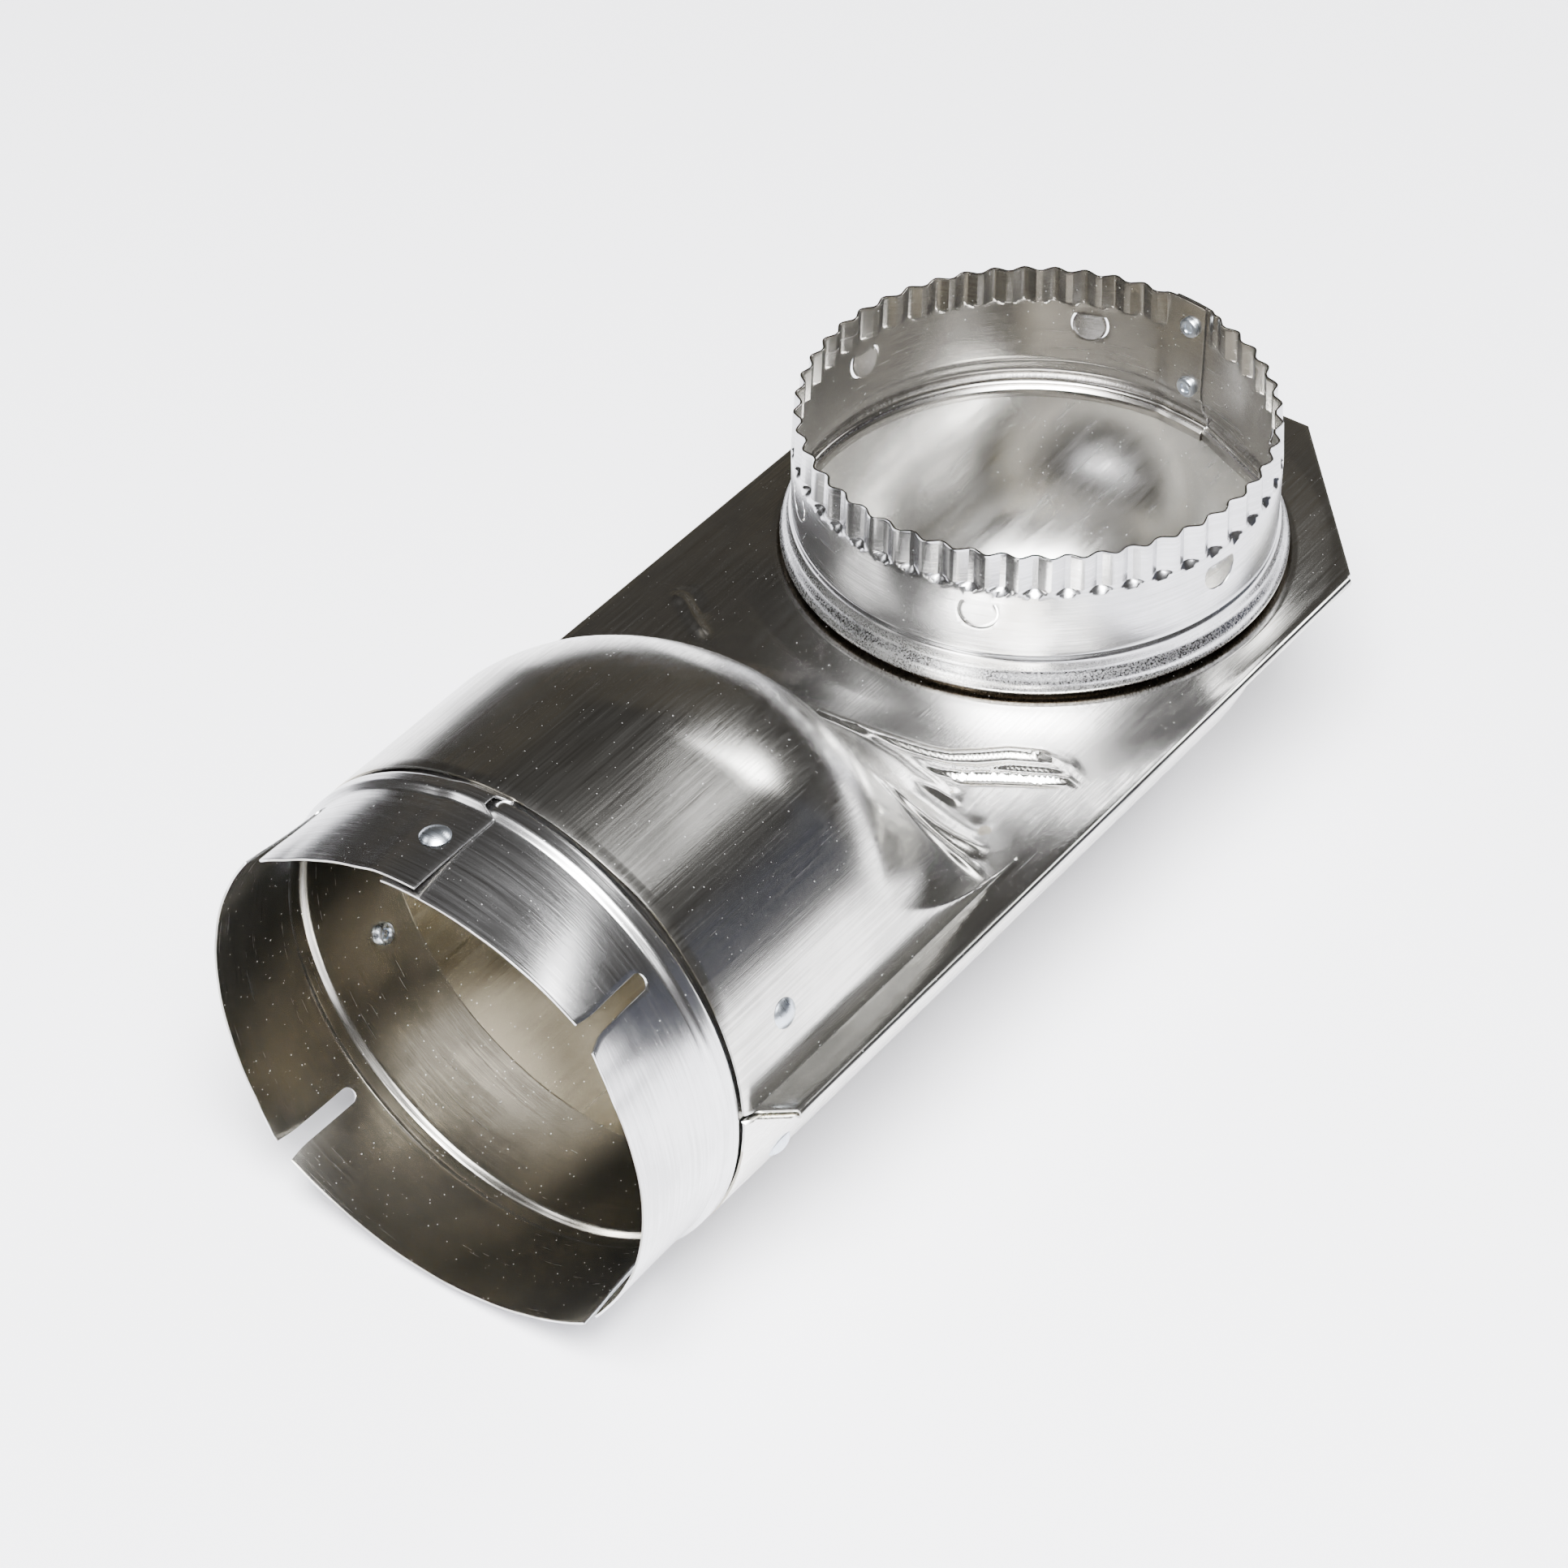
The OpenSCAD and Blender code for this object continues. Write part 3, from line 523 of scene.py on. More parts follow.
# Slots: length, half width, half width at the mouth, and how far in the mouth widens
slot_len, slot_half, slot_mouth, flare_len = 19.4, 1.7, 2.0, 5.0
# Bead: distance from the rim, half width and height
bead_at, bead_half, bead_h = 25.0, 2.9, 1.0
# Where the outer layer of the lap steps over the inner one, and where its bead rounds off
lap_step_at, lap_step_over = 436.5, 6.0
bead_end_at, bead_end_over, bead_cut = 88.2, 3.6, 3.2

# Rows as distances from the rim, close together at the slots' round ends and over the bead
round_start = slot_len - slot_half
leaf_u = np.concatenate([
    [0, 0.4, 1.0, 1.8, 2.8, 3.9, 5.0, 7, 9, 11, 13, 15, 16.6],
    round_start + slot_half * np.sin(np.radians([0, 15, 30, 42, 54, 64, 74, 82, 90])),
    [20.0, 20.8, 21.5, 22.0], np.linspace(22.2, 27.8, 19),
    [28.1, 28.8, 30.5, 33, 36, 39, 42, 45, 48, 50, 51.2, inlet_len]])
print(len(leaf_u), "rows from the rim to the inner end")

# %% Bend of the leaves
# How far the rim is bent out, against degrees from +Y to +Z. Between two slots a leaf has sprung
# a little flatter, so its corners stand out and its middle lies in.
leaf_bend = np.array([
    (83.4, -2.0), (95, -1.7), (108, -1.0), (118, 0.1), (127, 1.5), (136.5, 2.9),
    (138, 2.4), (145, 0.9), (152, 0.0), (165, -0.3), (190, -0.3), (205, 0.0), (216, 0.5),
    (224.5, 1.3),
    (225.5, 1.9), (235, 0.6), (245, -0.6), (258, -1.5), (275, -1.7), (290, -1.2), (300, -0.1),
    (308, 1.0), (314, 2.2),
    (315.4, 2.2), (322, 0.7), (330, -0.6), (345, -1.6), (360, -1.7), (375, -1.2), (390, 0.0),
    (404.5, 1.6),
    (405.5, 0.8), (415, -0.6), (425, -0.9), (440, -0.6), (452.5, -0.3)]).T


def slot_gap(u, slant):
    """Half the slot's width at a distance from the rim, in millimetres. slant cuts the corner."""
    straight = slot_half + (slot_mouth - slot_half) * np.clip(1 - u / flare_len, 0, 1)
    end = np.sqrt(np.maximum(slot_half ** 2 - np.clip(u - round_start, 0, slot_half) ** 2, 0))
    return np.where(u < round_start, straight, end) + slant * np.clip(1 - u / 3.2, 0, 1)


def bead_hump(u):
    """Section of the bead from 0 to 1: two rounded flanks with a broad crest between them."""
    return smooth((1 - np.abs(u - bead_at) / bead_half) / 0.62)


def inlet_point(u, turn):
    """A point of the collar's middle surface: distance from the rim, and degrees from +Y to +Z."""
    outer_layer = sheet * smooth((turn - lap_step_at) / lap_step_over)
    bead = bead_h * bead_hump(u) * smooth((turn - bead_end_at) / bead_end_over)
    bend = np.interp(turn, *leaf_bend) * np.clip(1 - u / slot_len, 0, 1) ** 1.5
    dents = 0.05 * ring_waves(turn, u, 8)
    r = inlet_mid + outer_layer + bend + dents + bead
    a = np.radians(turn)
    return stack(inlet_rim + u, r * np.cos(a), -axis_drop + r * np.sin(a))


# %% Leaves of the slotted collar
# How much the corners at the start of each leaf are cut off, and those at its end
start_slant, end_slant = [0, 1.3, 0.2, 0.2, 0.2], 0.3
u = leaf_u[:, None]
leaves = []
edges = np.concatenate([[lap_start], slot_at, [lap_end]])
for number, (first, last) in enumerate(zip(edges[:-1], edges[1:])):
    gap_first = slot_gap(u, start_slant[number]) if number > 0 else 0 * u
    gap_last = slot_gap(u, end_slant) if number < len(slot_at) else bead_cut * bead_hump(u)
    low = first + np.degrees(gap_first / inlet_mid)
    high = last - np.degrees(gap_last / inlet_mid)
    share = np.linspace(0, 1, int((last - first) / 1.4) + 2)
    leaf_turn = low + share * (high - low)
    leaves.append(grid(inlet_point(np.broadcast_to(u, leaf_turn.shape), leaf_turn)))
inlet_sleeve = sheet_piece("inlet_sleeve", leaves, "housing", "inlet_collar")

# %% [markdown]
# ## The crimped collar
#
# It is a rolled strip too, but its rows follow a profile: a lip turned out under the shell, a
# neck, a round bead with a shoulder above it, the plain band and the crimps. The crimps are a
# wave round the rim that grows from nothing at their foot. A Screw modifier could turn the
# profile into a ring, but every point of a grid can also be moved by the crimps and the tabs.
#
# The bead's side is written by how steeply it leans at each height, because that is what the
# light shows: a bright line, a dark line and a broad sheen. Adding up the slopes gives its radius.

# %% Profile of the base bead
# Height over the flange, and how far the wall leans outwards there, in degrees
lean = np.array([(10.6, 0), (10.3, 30), (10.0, 44), (9.7, 26), (9.3, 9), (8.4, 5), (7.6, 8), (7.0, 22),
                 (6.4, 34), (5.8, 34), (5.2, 27), (4.6, 17), (4.0, 8), (3.4, 0)])
side_z = np.array([10.6, 10.3, 10.0, 9.7, 9.3, 8.9, 8.4, 8.0, 7.6, 7.3, 7.0, 6.7, 6.4, 6.1, 5.8, 5.5,
                   5.2, 4.9, 4.6, 4.3, 4.0, 3.7, 3.4])
slope = np.tan(np.radians(np.interp(-side_z, -lean[:, 0], lean[:, 1])))
steps_out = (slope[1:] + slope[:-1]) / 2 * -np.diff(side_z)
bead_side = band_mid + np.concatenate([[0], np.cumsum(steps_out)])

# The round edge under the side, and the neck and lip that turn in the shell's hole
nose_r = 1.4
nose = np.radians(np.linspace(-95, -8, 10))
neck_and_lip = [[52.05, -0.2], [51.3, -0.2], [50.8, -0.1], [50.65, 0.1], [50.65, 0.6], [50.65, 1.1],
                [50.75, 1.6]]
foot = np.concatenate([
    neck_and_lip,
    [bead_side[-1] - nose_r, side_z[-1]] + nose_r * np.stack([np.cos(nose), np.sin(nose)], axis=-1),
    np.stack([bead_side, side_z], axis=-1)[::-1]])
print("the bead stands %.1f mm out from the band" % (bead_side[-1] - band_mid))

# %% Profile of the whole collar
step = 0.75
cell = band_mid * np.radians(step)
tab_z, fold_z = 20.5, 22.9
tab_reach = 8
tab_rows = tab_z + cell * np.arange(-tab_reach, tab_reach + 1)
rim_rows = np.concatenate([[26.1, 26.5, 27.0], np.linspace(27.6, outlet_h, 11)])
band_z = np.concatenate([np.linspace(foot[-1, 1], tab_rows[0], 7)[1:-1], tab_rows, rim_rows])
profile = np.concatenate([foot, np.stack([np.full(len(band_z), band_mid), band_z], axis=-1)])
first_tab_row = len(profile) - len(rim_rows) - len(tab_rows)
print("profile of", len(profile), "points, a column every", step, "degrees")

# %% Wave of the crimps
crimp_z, crimp_h, crimp_depth, crimp_lead, crimp_grows = 25.1, 9.4, 1.5, 0.5, 1.4
crimp_turn = 360 / 48
seam_turn, seam_half = -6.4, 6
# One crimp from crest to valley to crest: both are flat, with short slopes between
crimp_phases = np.array([0, 0.09, 0.41, 0.59, 0.91, 1])
crimp_wave = np.array([0, 0.08, 0.92, 0.92, 0.08, 0])


def crimp_dip(turn, z):
    """How far the wall draws in at a clock angle and height: the wave between crest and valley,
    narrow at its foot so that each valley starts in a point, and nothing across the seam."""
    h = np.clip(z - crimp_z, 0, crimp_h)
    grow = smooth(h / crimp_grows)
    narrow = 0.5 + 0.5 * grow
    phase = np.clip(((turn / crimp_turn) % 1 - 0.5) / narrow + 0.5, 0, 1)
    away = np.clip((np.abs((turn - seam_turn + 180) % 360 - 180) - seam_half) / 2, 0, 1)
    wave = crimp_depth * grow * np.interp(phase, crimp_phases, crimp_wave)
    return (wave + crimp_lead * h / crimp_h) * away


at_rim = crimp_dip(np.arange(0, 360.0), outlet_h)
print("the rim draws in by %.1f to %.1f mm" % (at_rim.min(), at_rim.max()))

# %% [markdown]
# ## Round tabs in a square grid
#
# Below the crimps, six round tabs are lanced in the band, and by hand each is bent in a little,
# some further than others. Boolean with a cylinder could cut them, but a cut through a thin sheet
# leaves ragged faces. Here the grid is pulled onto the circle: the square ring of points that is
# n steps from the tab's middle moves to a circle, so cells can be left out along a true circle.
# The tab stays attached at its fold line, and the points below that line turn inwards about it.

# %% A patch of the grid pulled round
n_row, n_col = np.mgrid[-tab_reach:tab_reach + 1, -tab_reach:tab_reach + 1]
ring = np.maximum(np.abs(n_row), np.abs(n_col))
length = np.maximum(np.hypot(n_row, n_col), 1e-9)
ring_r = np.array([0, 0.75, 1.5, 2.25, 3.0, 3.75, 4.2, 4.75, cell * tab_reach])[ring]
roundness = np.clip((tab_reach - ring) / 2, 0, 1)
spread = roundness * ring_r / length + (1 - roundness) * ring_r / np.maximum(ring, 1e-9)
tab_u, tab_v = n_col * spread, n_row * spread

cut_ring = 5
cell_ring = np.minimum.reduce([ring[:-1, :-1], ring[1:, 1:], ring[:-1, 1:], ring[1:, :-1]])
cell_v = (tab_v[:-1, :-1] + tab_v[1:, 1:] + tab_v[:-1, 1:] + tab_v[1:, :-1]) / 4
open_cells = (cell_ring == cut_ring) & (cell_v + tab_z < fold_z)
drop = np.where((ring <= cut_ring) & (tab_v + tab_z < fold_z), fold_z - tab_z - tab_v, 0)
print("each tab leaves", int(open_cells.sum()), "cells open")

# %% Tabs set into the band
turn = np.concatenate([[-10.7], np.arange(-10.5, 358.4, step), [358.5]])
turn_grid = np.repeat(turn[None, :], len(profile), axis=0)
z_grid = np.repeat(profile[:, 1][:, None], len(turn), axis=1)
keep = np.ones((len(profile) - 1, len(turn) - 1), bool)
last_tab_row = first_tab_row + 2 * tab_reach
tabs = []
for tab_turn, tab_bend in zip(21 + 60 * np.arange(6), np.radians([14, 12, 0, 0, 24, 8])):
    middle = int(np.argmin(np.abs(turn - tab_turn)))
    left, right = middle - tab_reach, middle + tab_reach
    place = (slice(first_tab_row, last_tab_row + 1), slice(left, right + 1))
    turn_grid[place] = tab_turn + np.degrees(tab_u / band_mid)
    z_grid[place] = tab_z + tab_v
    keep[first_tab_row:last_tab_row, left:right] &= ~open_cells
    tabs.append((place, np.radians(tab_turn), tab_bend))
print(len(tabs), "tabs round the band")

# %% The collar in space
# The bead has one flat run, as the photograph shows: its middle, half its angle and its radius
flat_turn, flat_half, flat_r = -23.5, 12.5, 50
off_flat = np.minimum(np.abs((turn_grid - flat_turn + 180) % 360 - 180), flat_half)
chord = flat_r * (1 - np.cos(np.radians(flat_half)) / np.cos(np.radians(off_flat)))
lap_step_turn, lap_over_turn = -1.2, 5
inner_layer = sheet * (1 - smooth((turn_grid - lap_step_turn) / lap_over_turn))
band_waves = 0.05 * ring_waves(turn_grid, z_grid, 14) * smooth((z_grid - 6) / 4)
radius = (profile[:, [0]] - crimp_dip(turn_grid, z_grid) - inner_layer
          - chord * smooth((8 - z_grid) / 4) + band_waves)
a = np.radians(turn_grid)
collar = stack(radius * np.cos(a), radius * np.sin(a), z_grid)
for place, tab_turn, tab_bend in tabs:
    outward = np.array([np.cos(tab_turn), np.sin(tab_turn), 0])
    lift = np.array([0, 0, 1 - np.cos(tab_bend)])
    collar[place] += drop[..., None] * (lift - np.sin(tab_bend) * outward)
outlet_ring = sheet_piece("outlet_ring", [grid(collar, keep)], "outlet", "outlet_collar", sharp=24)

# %% [markdown]
# ## Aluminium
#
# Bare aluminium has almost no colour of its own. What makes it look like itself is how its skin
# breaks up the reflections: fine lines from the rolling mill, patches where it is a little duller,
# and grains of dust that catch the light. A photograph of brushed metal could be wrapped round
# the part, but it would stretch at the dome and show seams. Noise in three dimensions does
# neither, and long thin lines come from noise that is stretched in one direction.
#
# The formulas are written with a small class that wraps a node's output, so that sums and
# products of sockets read like arithmetic.

# %% Sockets that add and multiply
class Wire:
    """A node output inside one material. Arithmetic with it adds Math nodes."""

    def __init__(self, skin, socket):
        self.skin, self.socket = skin, socket

    def math(self, operation, *others, first=None):
        """One Math node: the operation on this value and the others, or on one before it."""
        values = ([first] if first is not None else []) + [self] + list(others)
        return self.skin.node("ShaderNodeMath", {"operation": operation}, dict(enumerate(values)))

    def __add__(self, other):
        return self.math("ADD", other)

    __radd__ = __add__

    def __mul__(self, other):
        return self.math("MULTIPLY", other)

    __rmul__ = __mul__

    def __sub__(self, other):
        return self.math("SUBTRACT", other)

    def __rsub__(self, other):
        return self.math("SUBTRACT", first=other)

    def clamp(self, low, high):
        """The value held between two bounds."""
        return self.math("MAXIMUM", low).math("MINIMUM", high)


class Skin:
    """One material whose nodes are made by name, with settings and inputs."""

    def __init__(self, name):
        self.material = bpy.data.materials.new(name)
        self.material.use_nodes = True
        self.tree = self.material.node_tree
        self.tree.nodes.clear()

    def node(self, kind, settings=None, inputs=None, output=0):
        """Any node: its settings by name, its inputs by name or number, and one output."""
        made = self.tree.nodes.new(kind)
        for key, value in (settings or {}).items():
            setattr(made, key, value)
        for key, value in (inputs or {}).items():
            if isinstance(value, Wire):
                self.tree.links.new(value.socket, made.inputs[key])
            else:
                made.inputs[key].default_value = value
        return Wire(self, made.outputs[output]) if made.outputs else made

    def vector(self, x, y, z):
        """Three values as one vector."""
        return self.node("ShaderNodeCombineXYZ", {}, {0: x, 1: y, 2: z})

    def noise(self, at, scale, detail, rough):
        """Noise from 0 to 1 at a point: waves per unit, finer layers, and how strong they are."""
        return self.node("ShaderNodeTexNoise", {}, {"Vector": at, "Scale": scale, "Detail": detail,
                                                    "Roughness": rough})

    def ramp(self, value, low, high):
        """Smooth step of a value: 0 at one bound and 1 at the other."""
        return self.node("ShaderNodeMapRange", {"interpolation_type": "SMOOTHSTEP"},
                         {0: value, 1: low, 2: high, 3: 0.0, 4: 1.0})

    def mix(self, share, a, b):
        """The colour that is a share of the way from one to the other."""
        return self.node("ShaderNodeMix", {"data_type": "RGBA"}, {0: share, 6: a, 7: b}, 2)

    def finish(self, **inputs):
        """The shader itself, wired to the material's output."""
        shader = self.node("ShaderNodeBsdfPrincipled", {}, inputs)
        self.node("ShaderNodeOutputMaterial", {}, {0: shader})
        return self.material


# %% [markdown]
# ## One recipe for every sheet
#
# All four sheets are the same metal, so one function makes every skin and only a few values
# differ: the tint, the shine, which way the lines run, and how stained it is. Roughness follows
# the lines, so a highlight breaks up along them. Where the bead rubs on the shell the skin is
# rougher. Painted shade darkens the narrow gap below the bead, the ring of shell beside it and
# the far inside of the pipe. A separate node tree for each sheet could
# be tuned further, but then the sheets would soon stop looking like one metal.

# %% Aluminium sheet
# Number of the output for Object coordinates
object_output = 3


def place_in_mm(skin):
    """The point in work millimetres, as three sockets."""
    at = skin.node("ShaderNodeTexCoord", {}, {}, object_output)
    split = skin.node("ShaderNodeSeparateXYZ", {}, {0: at}).socket.node
    return [Wire(skin, split.outputs[i]) * MM - float(swivel_at[i]) for i in range(3)]


def aluminium(name, brushed, tint, shine, line, seed=0.0, stain=0.12, grain=1.6, worn=None, painted_shade=None):
    """Aluminium sheet. brushed turns the point in millimetres into (across the lines, along them,
    third), so the fine lines run along the second of the three. shine is the mean roughness, line
    the depth of the lines, grain their number per millimetre, and stain how much darker the dull
    patches are. worn gives the share of rubbed, rougher skin at a point. The last argument is a
    pair for painted shade: the share of painted shade at a point, and its dark tint."""
    skin = Skin(name)
    x, y, z = place_in_mm(skin)
    across_lines, along_lines, third = brushed(x, y, z)
    lines = skin.noise(skin.vector(across_lines, along_lines * 0.02, third * 0.2), grain, 4.0, 0.7)
    fine = skin.noise(skin.vector(across_lines, along_lines * 0.012, third * 0.1 + seed), 6.0, 2.0, 0.6)
    patch = skin.noise(skin.vector(x, y, z + seed), 0.05, 5.0, 0.6)
    grains = skin.noise(skin.vector(x, y, z + seed), 1.9, 1.0, 0.5)
    dust = skin.ramp(grains, 0.765, 0.80)
    rough = shine + (lines - 0.5) * 0.30 + (patch - 0.5) * 0.10 + dust * 0.3
    relief = lines * 0.6 + fine * 0.4
    if worn:
        share = worn(skin, x, y, z)
        grit = skin.noise(skin.vector(x, y, z + seed), 2.6, 2.0, 0.6)
        rough = rough + share * (0.05 + (grit - 0.5) * 0.8)
        relief = relief + share * grit * 0.8
    dull = skin.ramp(lines * 0.5 + patch * 0.5, 0.40, 0.60)
    pale = tint + (1.0,)
    dark = tuple(c * (1 - stain) for c in tint) + (1.0,)
    colour = skin.mix(dull, pale, dark)
    # Painted shade: the colour is mixed towards a dark tint where shade falls, in gaps and deep inside.
    if painted_shade:
        where, shade_tint = painted_shade
        colour = skin.mix(where(skin, x, y, z), colour, shade_tint + (1.0,))
    colour = skin.mix(dust, colour, (0.85, 0.85, 0.85, 1.0))
    normal = skin.node("ShaderNodeBump", {}, {"Strength": line, "Distance": 0.00006, "Height": relief})
    return skin.finish(**{"Base Color": colour, "Metallic": 1.0, "Roughness": rough.clamp(0.08, 0.6),
                          "Normal": normal})


# %% Which way the lines run
def along_the_shell(x, y, z):
    """Lines along the pipe, as the sheet came from the mill."""
    return y + z * 0.6, x, z


def round_the_inlet(x, y, z):
    """Lines round the inlet: across is the distance along the pipe, along is the arc."""
    return x, y.math("ARCTAN2", z + axis_drop) * inlet_mid, x * 0.0


def round_the_outlet(x, y, z):
    """Lines round the outlet: across is the height, along is the arc."""
    return z, (y * -1.0).math("ARCTAN2", x * -1.0) * band_mid, x * 0.0


def no_lines(x, y, z):
    """The same in every direction."""
    return x, y, z


# %% Where the skin is worn or grimy
def base_bead(skin, x, y, z):
    """The crimped collar's base bead, which turns on the shell and is rubbed by it."""
    return skin.ramp(z, 9.5, 7.5)


def under_the_bead(skin, x, y, z):
    """Painted shade on the underside of the base bead and the neck below it."""
    return skin.ramp(z, 2.3, 1.9)


def beside_the_hole(skin, x, y, z):
    """Painted shade on the ring of the shell round the bead's foot."""
    return skin.ramp((x * x + y * y).math("SQRT"), 53.8, 53.2) * skin.ramp(z, -1.0, 0.0)


def far_inside(skin, x, y, z):
    """Painted shade and the tint of bounced light on the pipe's inside, growing away from the bowl."""
    return skin.ramp(x, -35, -80)


# %% The skins
# The dark tints that go with the shade masks are painted shade: in the gap under the outlet's bead, on
# the shell beside it, and deep inside the pipe.
shell_skin = aluminium("shell_aluminium", along_the_shell, tint=(0.65, 0.64, 0.61), shine=0.21,
                       line=0.35, stain=0.3, painted_shade=(beside_the_hole, (0.15, 0.13, 0.10)))
tray_skin = aluminium("tray_aluminium", along_the_shell, tint=(0.80, 0.79, 0.76), shine=0.26,
                      line=0.4, seed=7.0)
inlet_skin = aluminium("inlet_aluminium", round_the_inlet, tint=(0.71, 0.71, 0.72), shine=0.22,
                       line=0.5, seed=3.0, stain=0.25)
outlet_skin = aluminium("outlet_aluminium", round_the_outlet, tint=(0.61, 0.61, 0.63), shine=0.22,
                        line=0.4, seed=5.0, stain=0.25, worn=base_bead,
                        painted_shade=(under_the_bead, (0.12, 0.11, 0.10)))
shell_inside = aluminium("shell_inside", along_the_shell, tint=(0.80, 0.79, 0.765), shine=0.22,
                         line=0.15, seed=7.0, stain=0.2, grain=0.4,
                         painted_shade=(far_inside, (0.46, 0.43, 0.36)))
# The collars' inside skins are darker and browner than their outsides: painted shade and the tint of
# light bounced inside the tubes, with a thin oil film that the real sheet has.
inlet_inside = aluminium("inlet_inside", round_the_inlet, tint=(0.48, 0.465, 0.43), shine=0.22,
                         line=0.6, seed=8.0, stain=0.45)
outlet_inside = aluminium("outlet_inside", round_the_outlet, tint=(0.48, 0.465, 0.44), shine=0.22,
                          line=0.3, seed=2.0, stain=0.2)
rivet_skin = aluminium("rivet_aluminium", no_lines, tint=(0.55, 0.60, 0.67), shine=0.30, line=0.3,
                       seed=9.0)

# %% [markdown]
# ## Inside and outside
#
# The inside of the duct is given darker, browner skins than its handled, bright outside: painted shade
# and the tint of light bounced inside, with a thin oil film that the real sheet has.
# Both belong to one sheet, so each piece carries two skins. The second could be painted on with
# a mask, but every face already knows which side it is on: its normal looks towards the axis of
# the pipe, or away from it.

# %% Faces that look towards an axis
def faces_in(piece, axis_start, axis_end):
    """For each face of a piece, whether its normal looks towards a line between two points."""
    count = len(piece.data.polygons)
    middle, normal = np.empty(count * 3), np.empty(count * 3)
    piece.data.polygons.foreach_get("center", middle)
    piece.data.polygons.foreach_get("normal", normal)
    middle = middle.reshape(-1, 3) * MM - swivel_at
    run = np.array(axis_end, float) - axis_start
    share = np.clip((middle - axis_start) @ run / (run @ run), 0, 1)
    to_axis = axis_start + share[:, None] * run - middle
    return (to_axis * normal.reshape(-1, 3)).sum(axis=1) > 0


# %% Two skins on each sheet
pipe_line = ([-300, 0, -axis_drop], [0, 0, -axis_drop])
outlet_line = ([0, 0, -50], [0, 0, 90])
for piece, skin, inside, line, slot in (
        (upper_sheet, shell_skin, shell_inside, pipe_line, "shell_aluminium"),
        (lower_sheet, tray_skin, shell_inside, pipe_line, "shell_aluminium"),
        (inlet_sleeve, inlet_skin, inlet_inside, pipe_line, "collar_aluminium"),
        (outlet_ring, outlet_skin, outlet_inside, outlet_line, "collar_aluminium")):
    piece.data.materials.clear()
    piece.data.materials.append(skin)
    piece.data.materials.append(inside)
    looks_in = faces_in(piece, *line).astype(np.int32)
    piece.data.polygons.foreach_set("material_index", looks_in)
    print(piece.name, int(looks_in.sum()), "faces look in")
print(len(bpy.data.materials), "materials")

# %% [markdown]
# ## The rivets
#
# Each is a domed head with a rolled tail, and the CAD solids already have that form, so they stay
# as they are. They could be modelled again here, but at this size only the finish would tell.

# %% Skin of the rivets
for node, made in frame["nodes"].items():
    if "rivet" in node:
        for material_slot in made.material_slots:
            material_slot.material = rivet_skin
print("rivets:", sum("rivet" in node for node in frame["nodes"]))

# %% [markdown]
# ## The studio
#
# Polished metal shows its surroundings, so the light is part of the model's look. The part lies
# on a pale table in a dim room. One large panel overhead lights the table and draws the bright
# edges, a small one beyond the part draws the patch on the dome, and weak ones round about keep
# the steep walls from going black. A picture of a studio could light the scene as well, but
# panels can be moved one by one until each reflection lies where it should.
#
# A bare rectangle of light has hard edges in a smooth sheet. So each of the main panels is three
# rectangles of growing size inside each other, and its reflection fades out in steps that the
# roughness of the metal hides.

# %% Table
def work_point(x, y, z):
    """A place given in work millimetres, in the frame's metres."""
    return Vector((np.array([x, y, z]) + swivel_at) / MM)


bpy.ops.mesh.primitive_circle_add(vertices=96, radius=1.6, fill_type="NGON", location=(0.3, 0.25, 0))
table = bpy.context.object
table.name = "table"
table.data.materials.append(Skin("table_white").finish(**{
    "Base Color": (0.95, 0.95, 0.99, 1.0), "Roughness": 0.7, "Specular IOR Level": 0.2}))
print("table %.1f m across" % table.dimensions.x)


# %% Soft panels
def panel(name, direction, distance, width, height, power, colour=(1, 1, 1)):
    """A soft panel that stands in a direction from the middle of the part and faces it."""
    light = bpy.data.lights.new(name, "AREA")
    light.shape = "RECTANGLE"
    light.size, light.size_y = width, height
    light.energy = power
    light.color = colour
    made = bpy.data.objects.new(name, light)
    bpy.context.scene.collection.objects.link(made)
    away = Vector(direction).normalized()
    made.location = Vector((0, 0, 0.05)) + away * distance
    made.rotation_euler = (-away).to_track_quat("-Z", "Y").to_euler()
    return made


def aim_at(azimuth, elevation):
    """A direction from two angles in degrees: round from +X towards +Y, and up."""
    a, e = np.radians([azimuth, elevation])
    return np.cos(a) * np.cos(e), np.sin(a) * np.cos(e), np.sin(e)


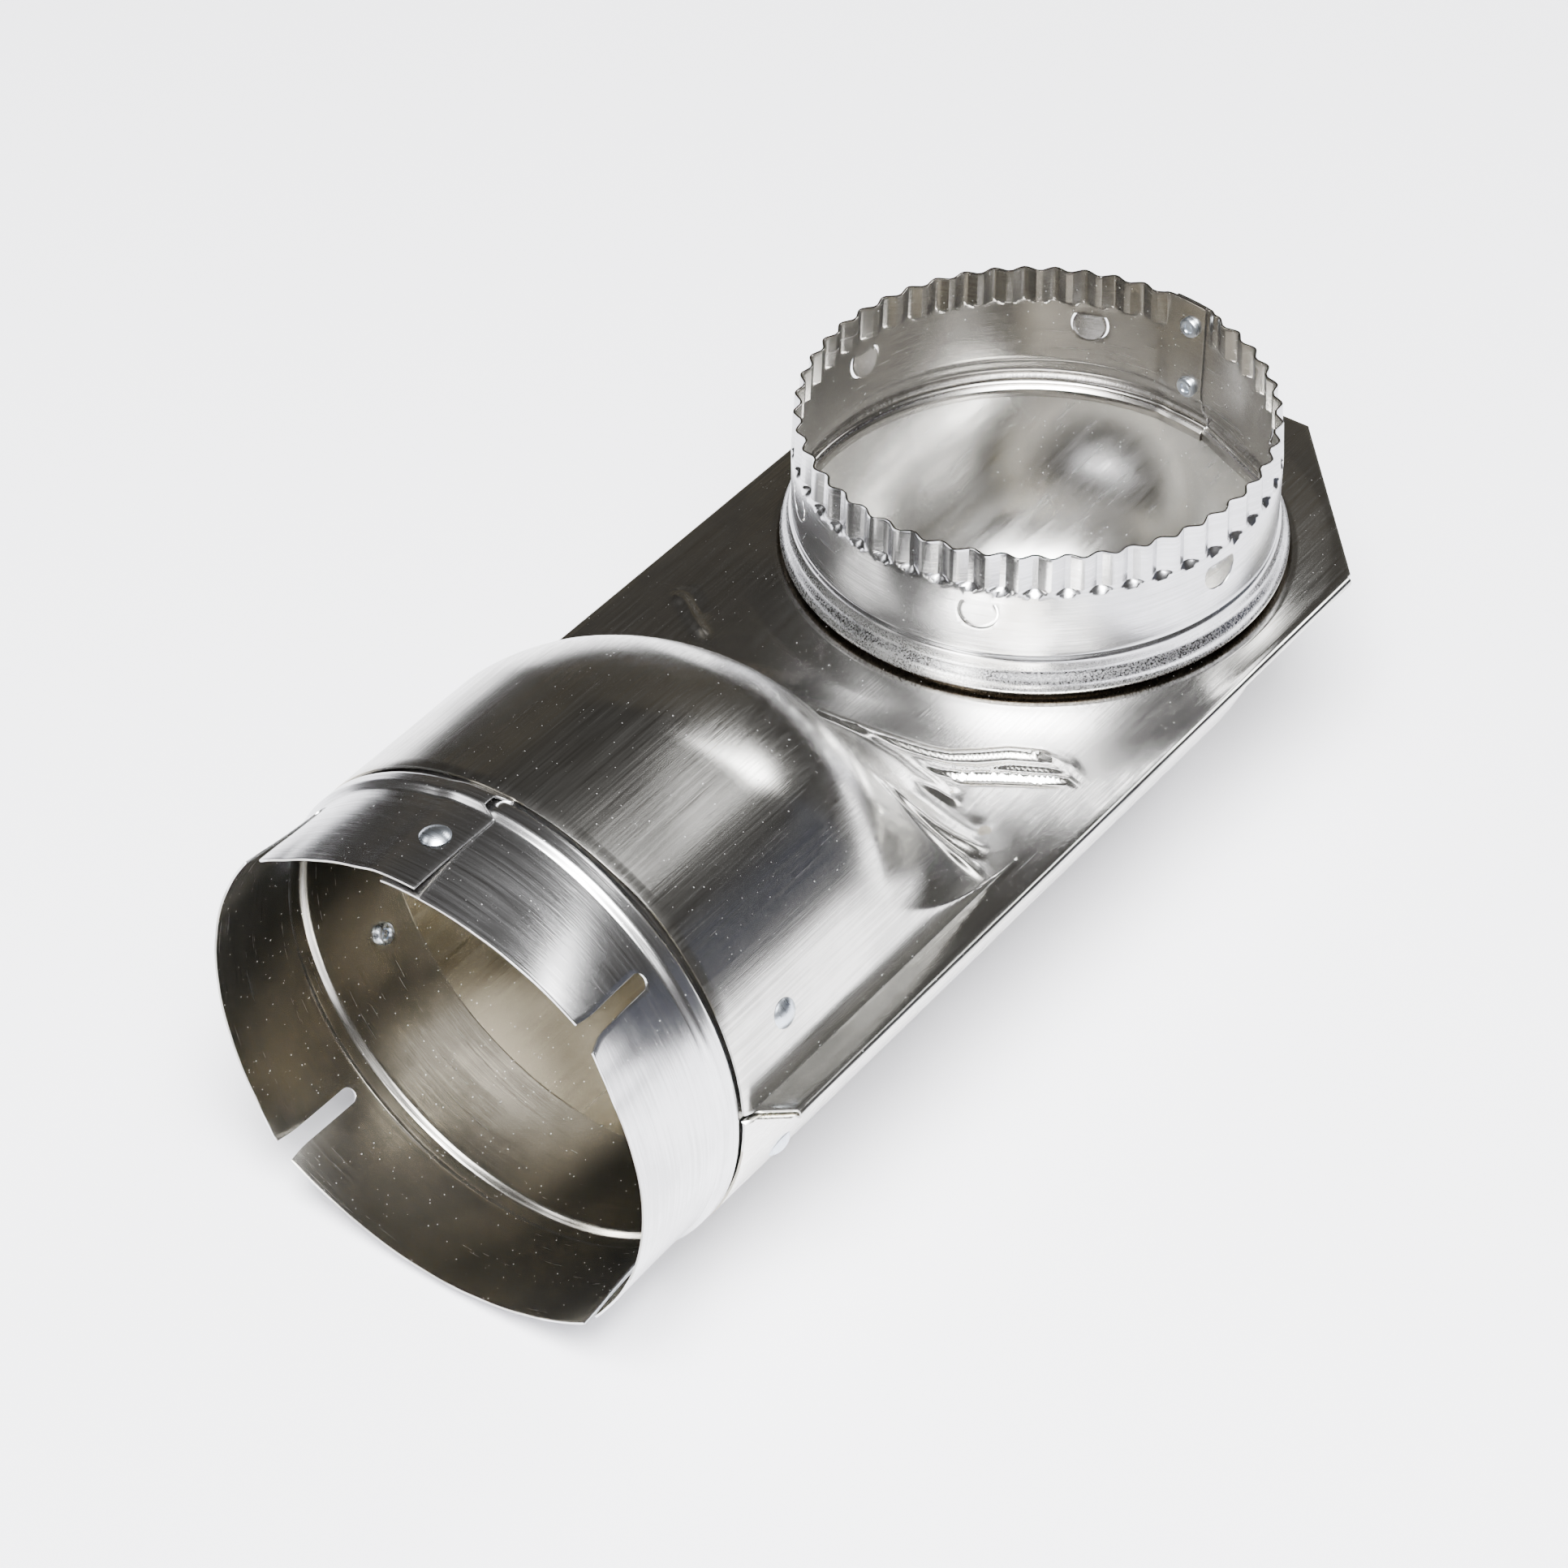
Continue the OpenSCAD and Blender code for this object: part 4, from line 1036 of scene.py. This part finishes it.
def soft_panel(name, direction, distance, width, height, power):
    """Three panels inside each other, so that the light fades towards its edges."""
    return [panel(name + "_%d" % n, direction, distance + 0.01 * n, width * size, height * size,
                  power / 3) for n, size in enumerate((0.65, 0.95, 1.25))]


# %% The room
panels = (
    soft_panel("key_window", aim_at(-14, 42), 1.7, 0.62, 0.42, 11)
    + soft_panel("wide_ceiling", aim_at(-145, 62), 1.9, 1.3, 1.2, 240)
    + soft_panel("left_window", aim_at(122, 42), 1.9, 0.6, 0.5, 5)
    + soft_panel("low_window", aim_at(-143, 24), 2.0, 1.0, 0.3, 3)
    + [panel("cool_wall", aim_at(-48, 14), 2.2, 1.2, 0.8, 0.25, (0.55, 0.65, 1.0)),
       panel("warm_wall", aim_at(35, 22), 2.2, 1.8, 1.2, 0.35, (1.0, 0.86, 0.62))])

world = bpy.data.worlds.new("room")
bpy.context.scene.world = world
world.use_nodes = True
world.node_tree.nodes["Background"].inputs[0].default_value = (0.040, 0.037, 0.033, 1)
world.node_tree.nodes["Background"].inputs[1].default_value = 1.0
print(len(panels), "panels")

# %% [markdown]
# ## The camera
#
# Its place was worked out from the photograph: the two round collars give the direction, and
# how much the near end is larger than the far one gives the distance. It could be aimed by eye
# with Lock Camera to View, but a fit of both ends brings the edges within a few pixels.

# %% Camera
azimuth, elevation, roll = np.radians([-52.952, 41.246, -0.707])
camera_far = 971.3
target = np.array([-66.41, 15.80, -28.48])
# Focal length and width of the photograph in its own pixels, and Blender's sensor in millimetres
focal_pixels, photo_pixels, sensor_mm = 5829.6, 1932, 36
camera_data = bpy.data.cameras.new("camera")
camera_data.lens = focal_pixels / photo_pixels * sensor_mm
camera = bpy.data.objects.new("camera", camera_data)
bpy.context.scene.collection.objects.link(camera)
level = np.array([np.sin(azimuth), -np.cos(azimuth), 0])
back = level * np.cos(elevation) + np.array([0, 0, np.sin(elevation)])
camera.location = work_point(*(target + camera_far * back))
aim = Vector(-back).to_track_quat("-Z", "Y").to_matrix()
camera.rotation_euler = (aim @ Matrix.Rotation(roll, 3, "Z")).to_euler()
bpy.context.scene.camera = camera
print("camera %.0f mm away, lens %.1f mm" % (camera_far, camera_data.lens))
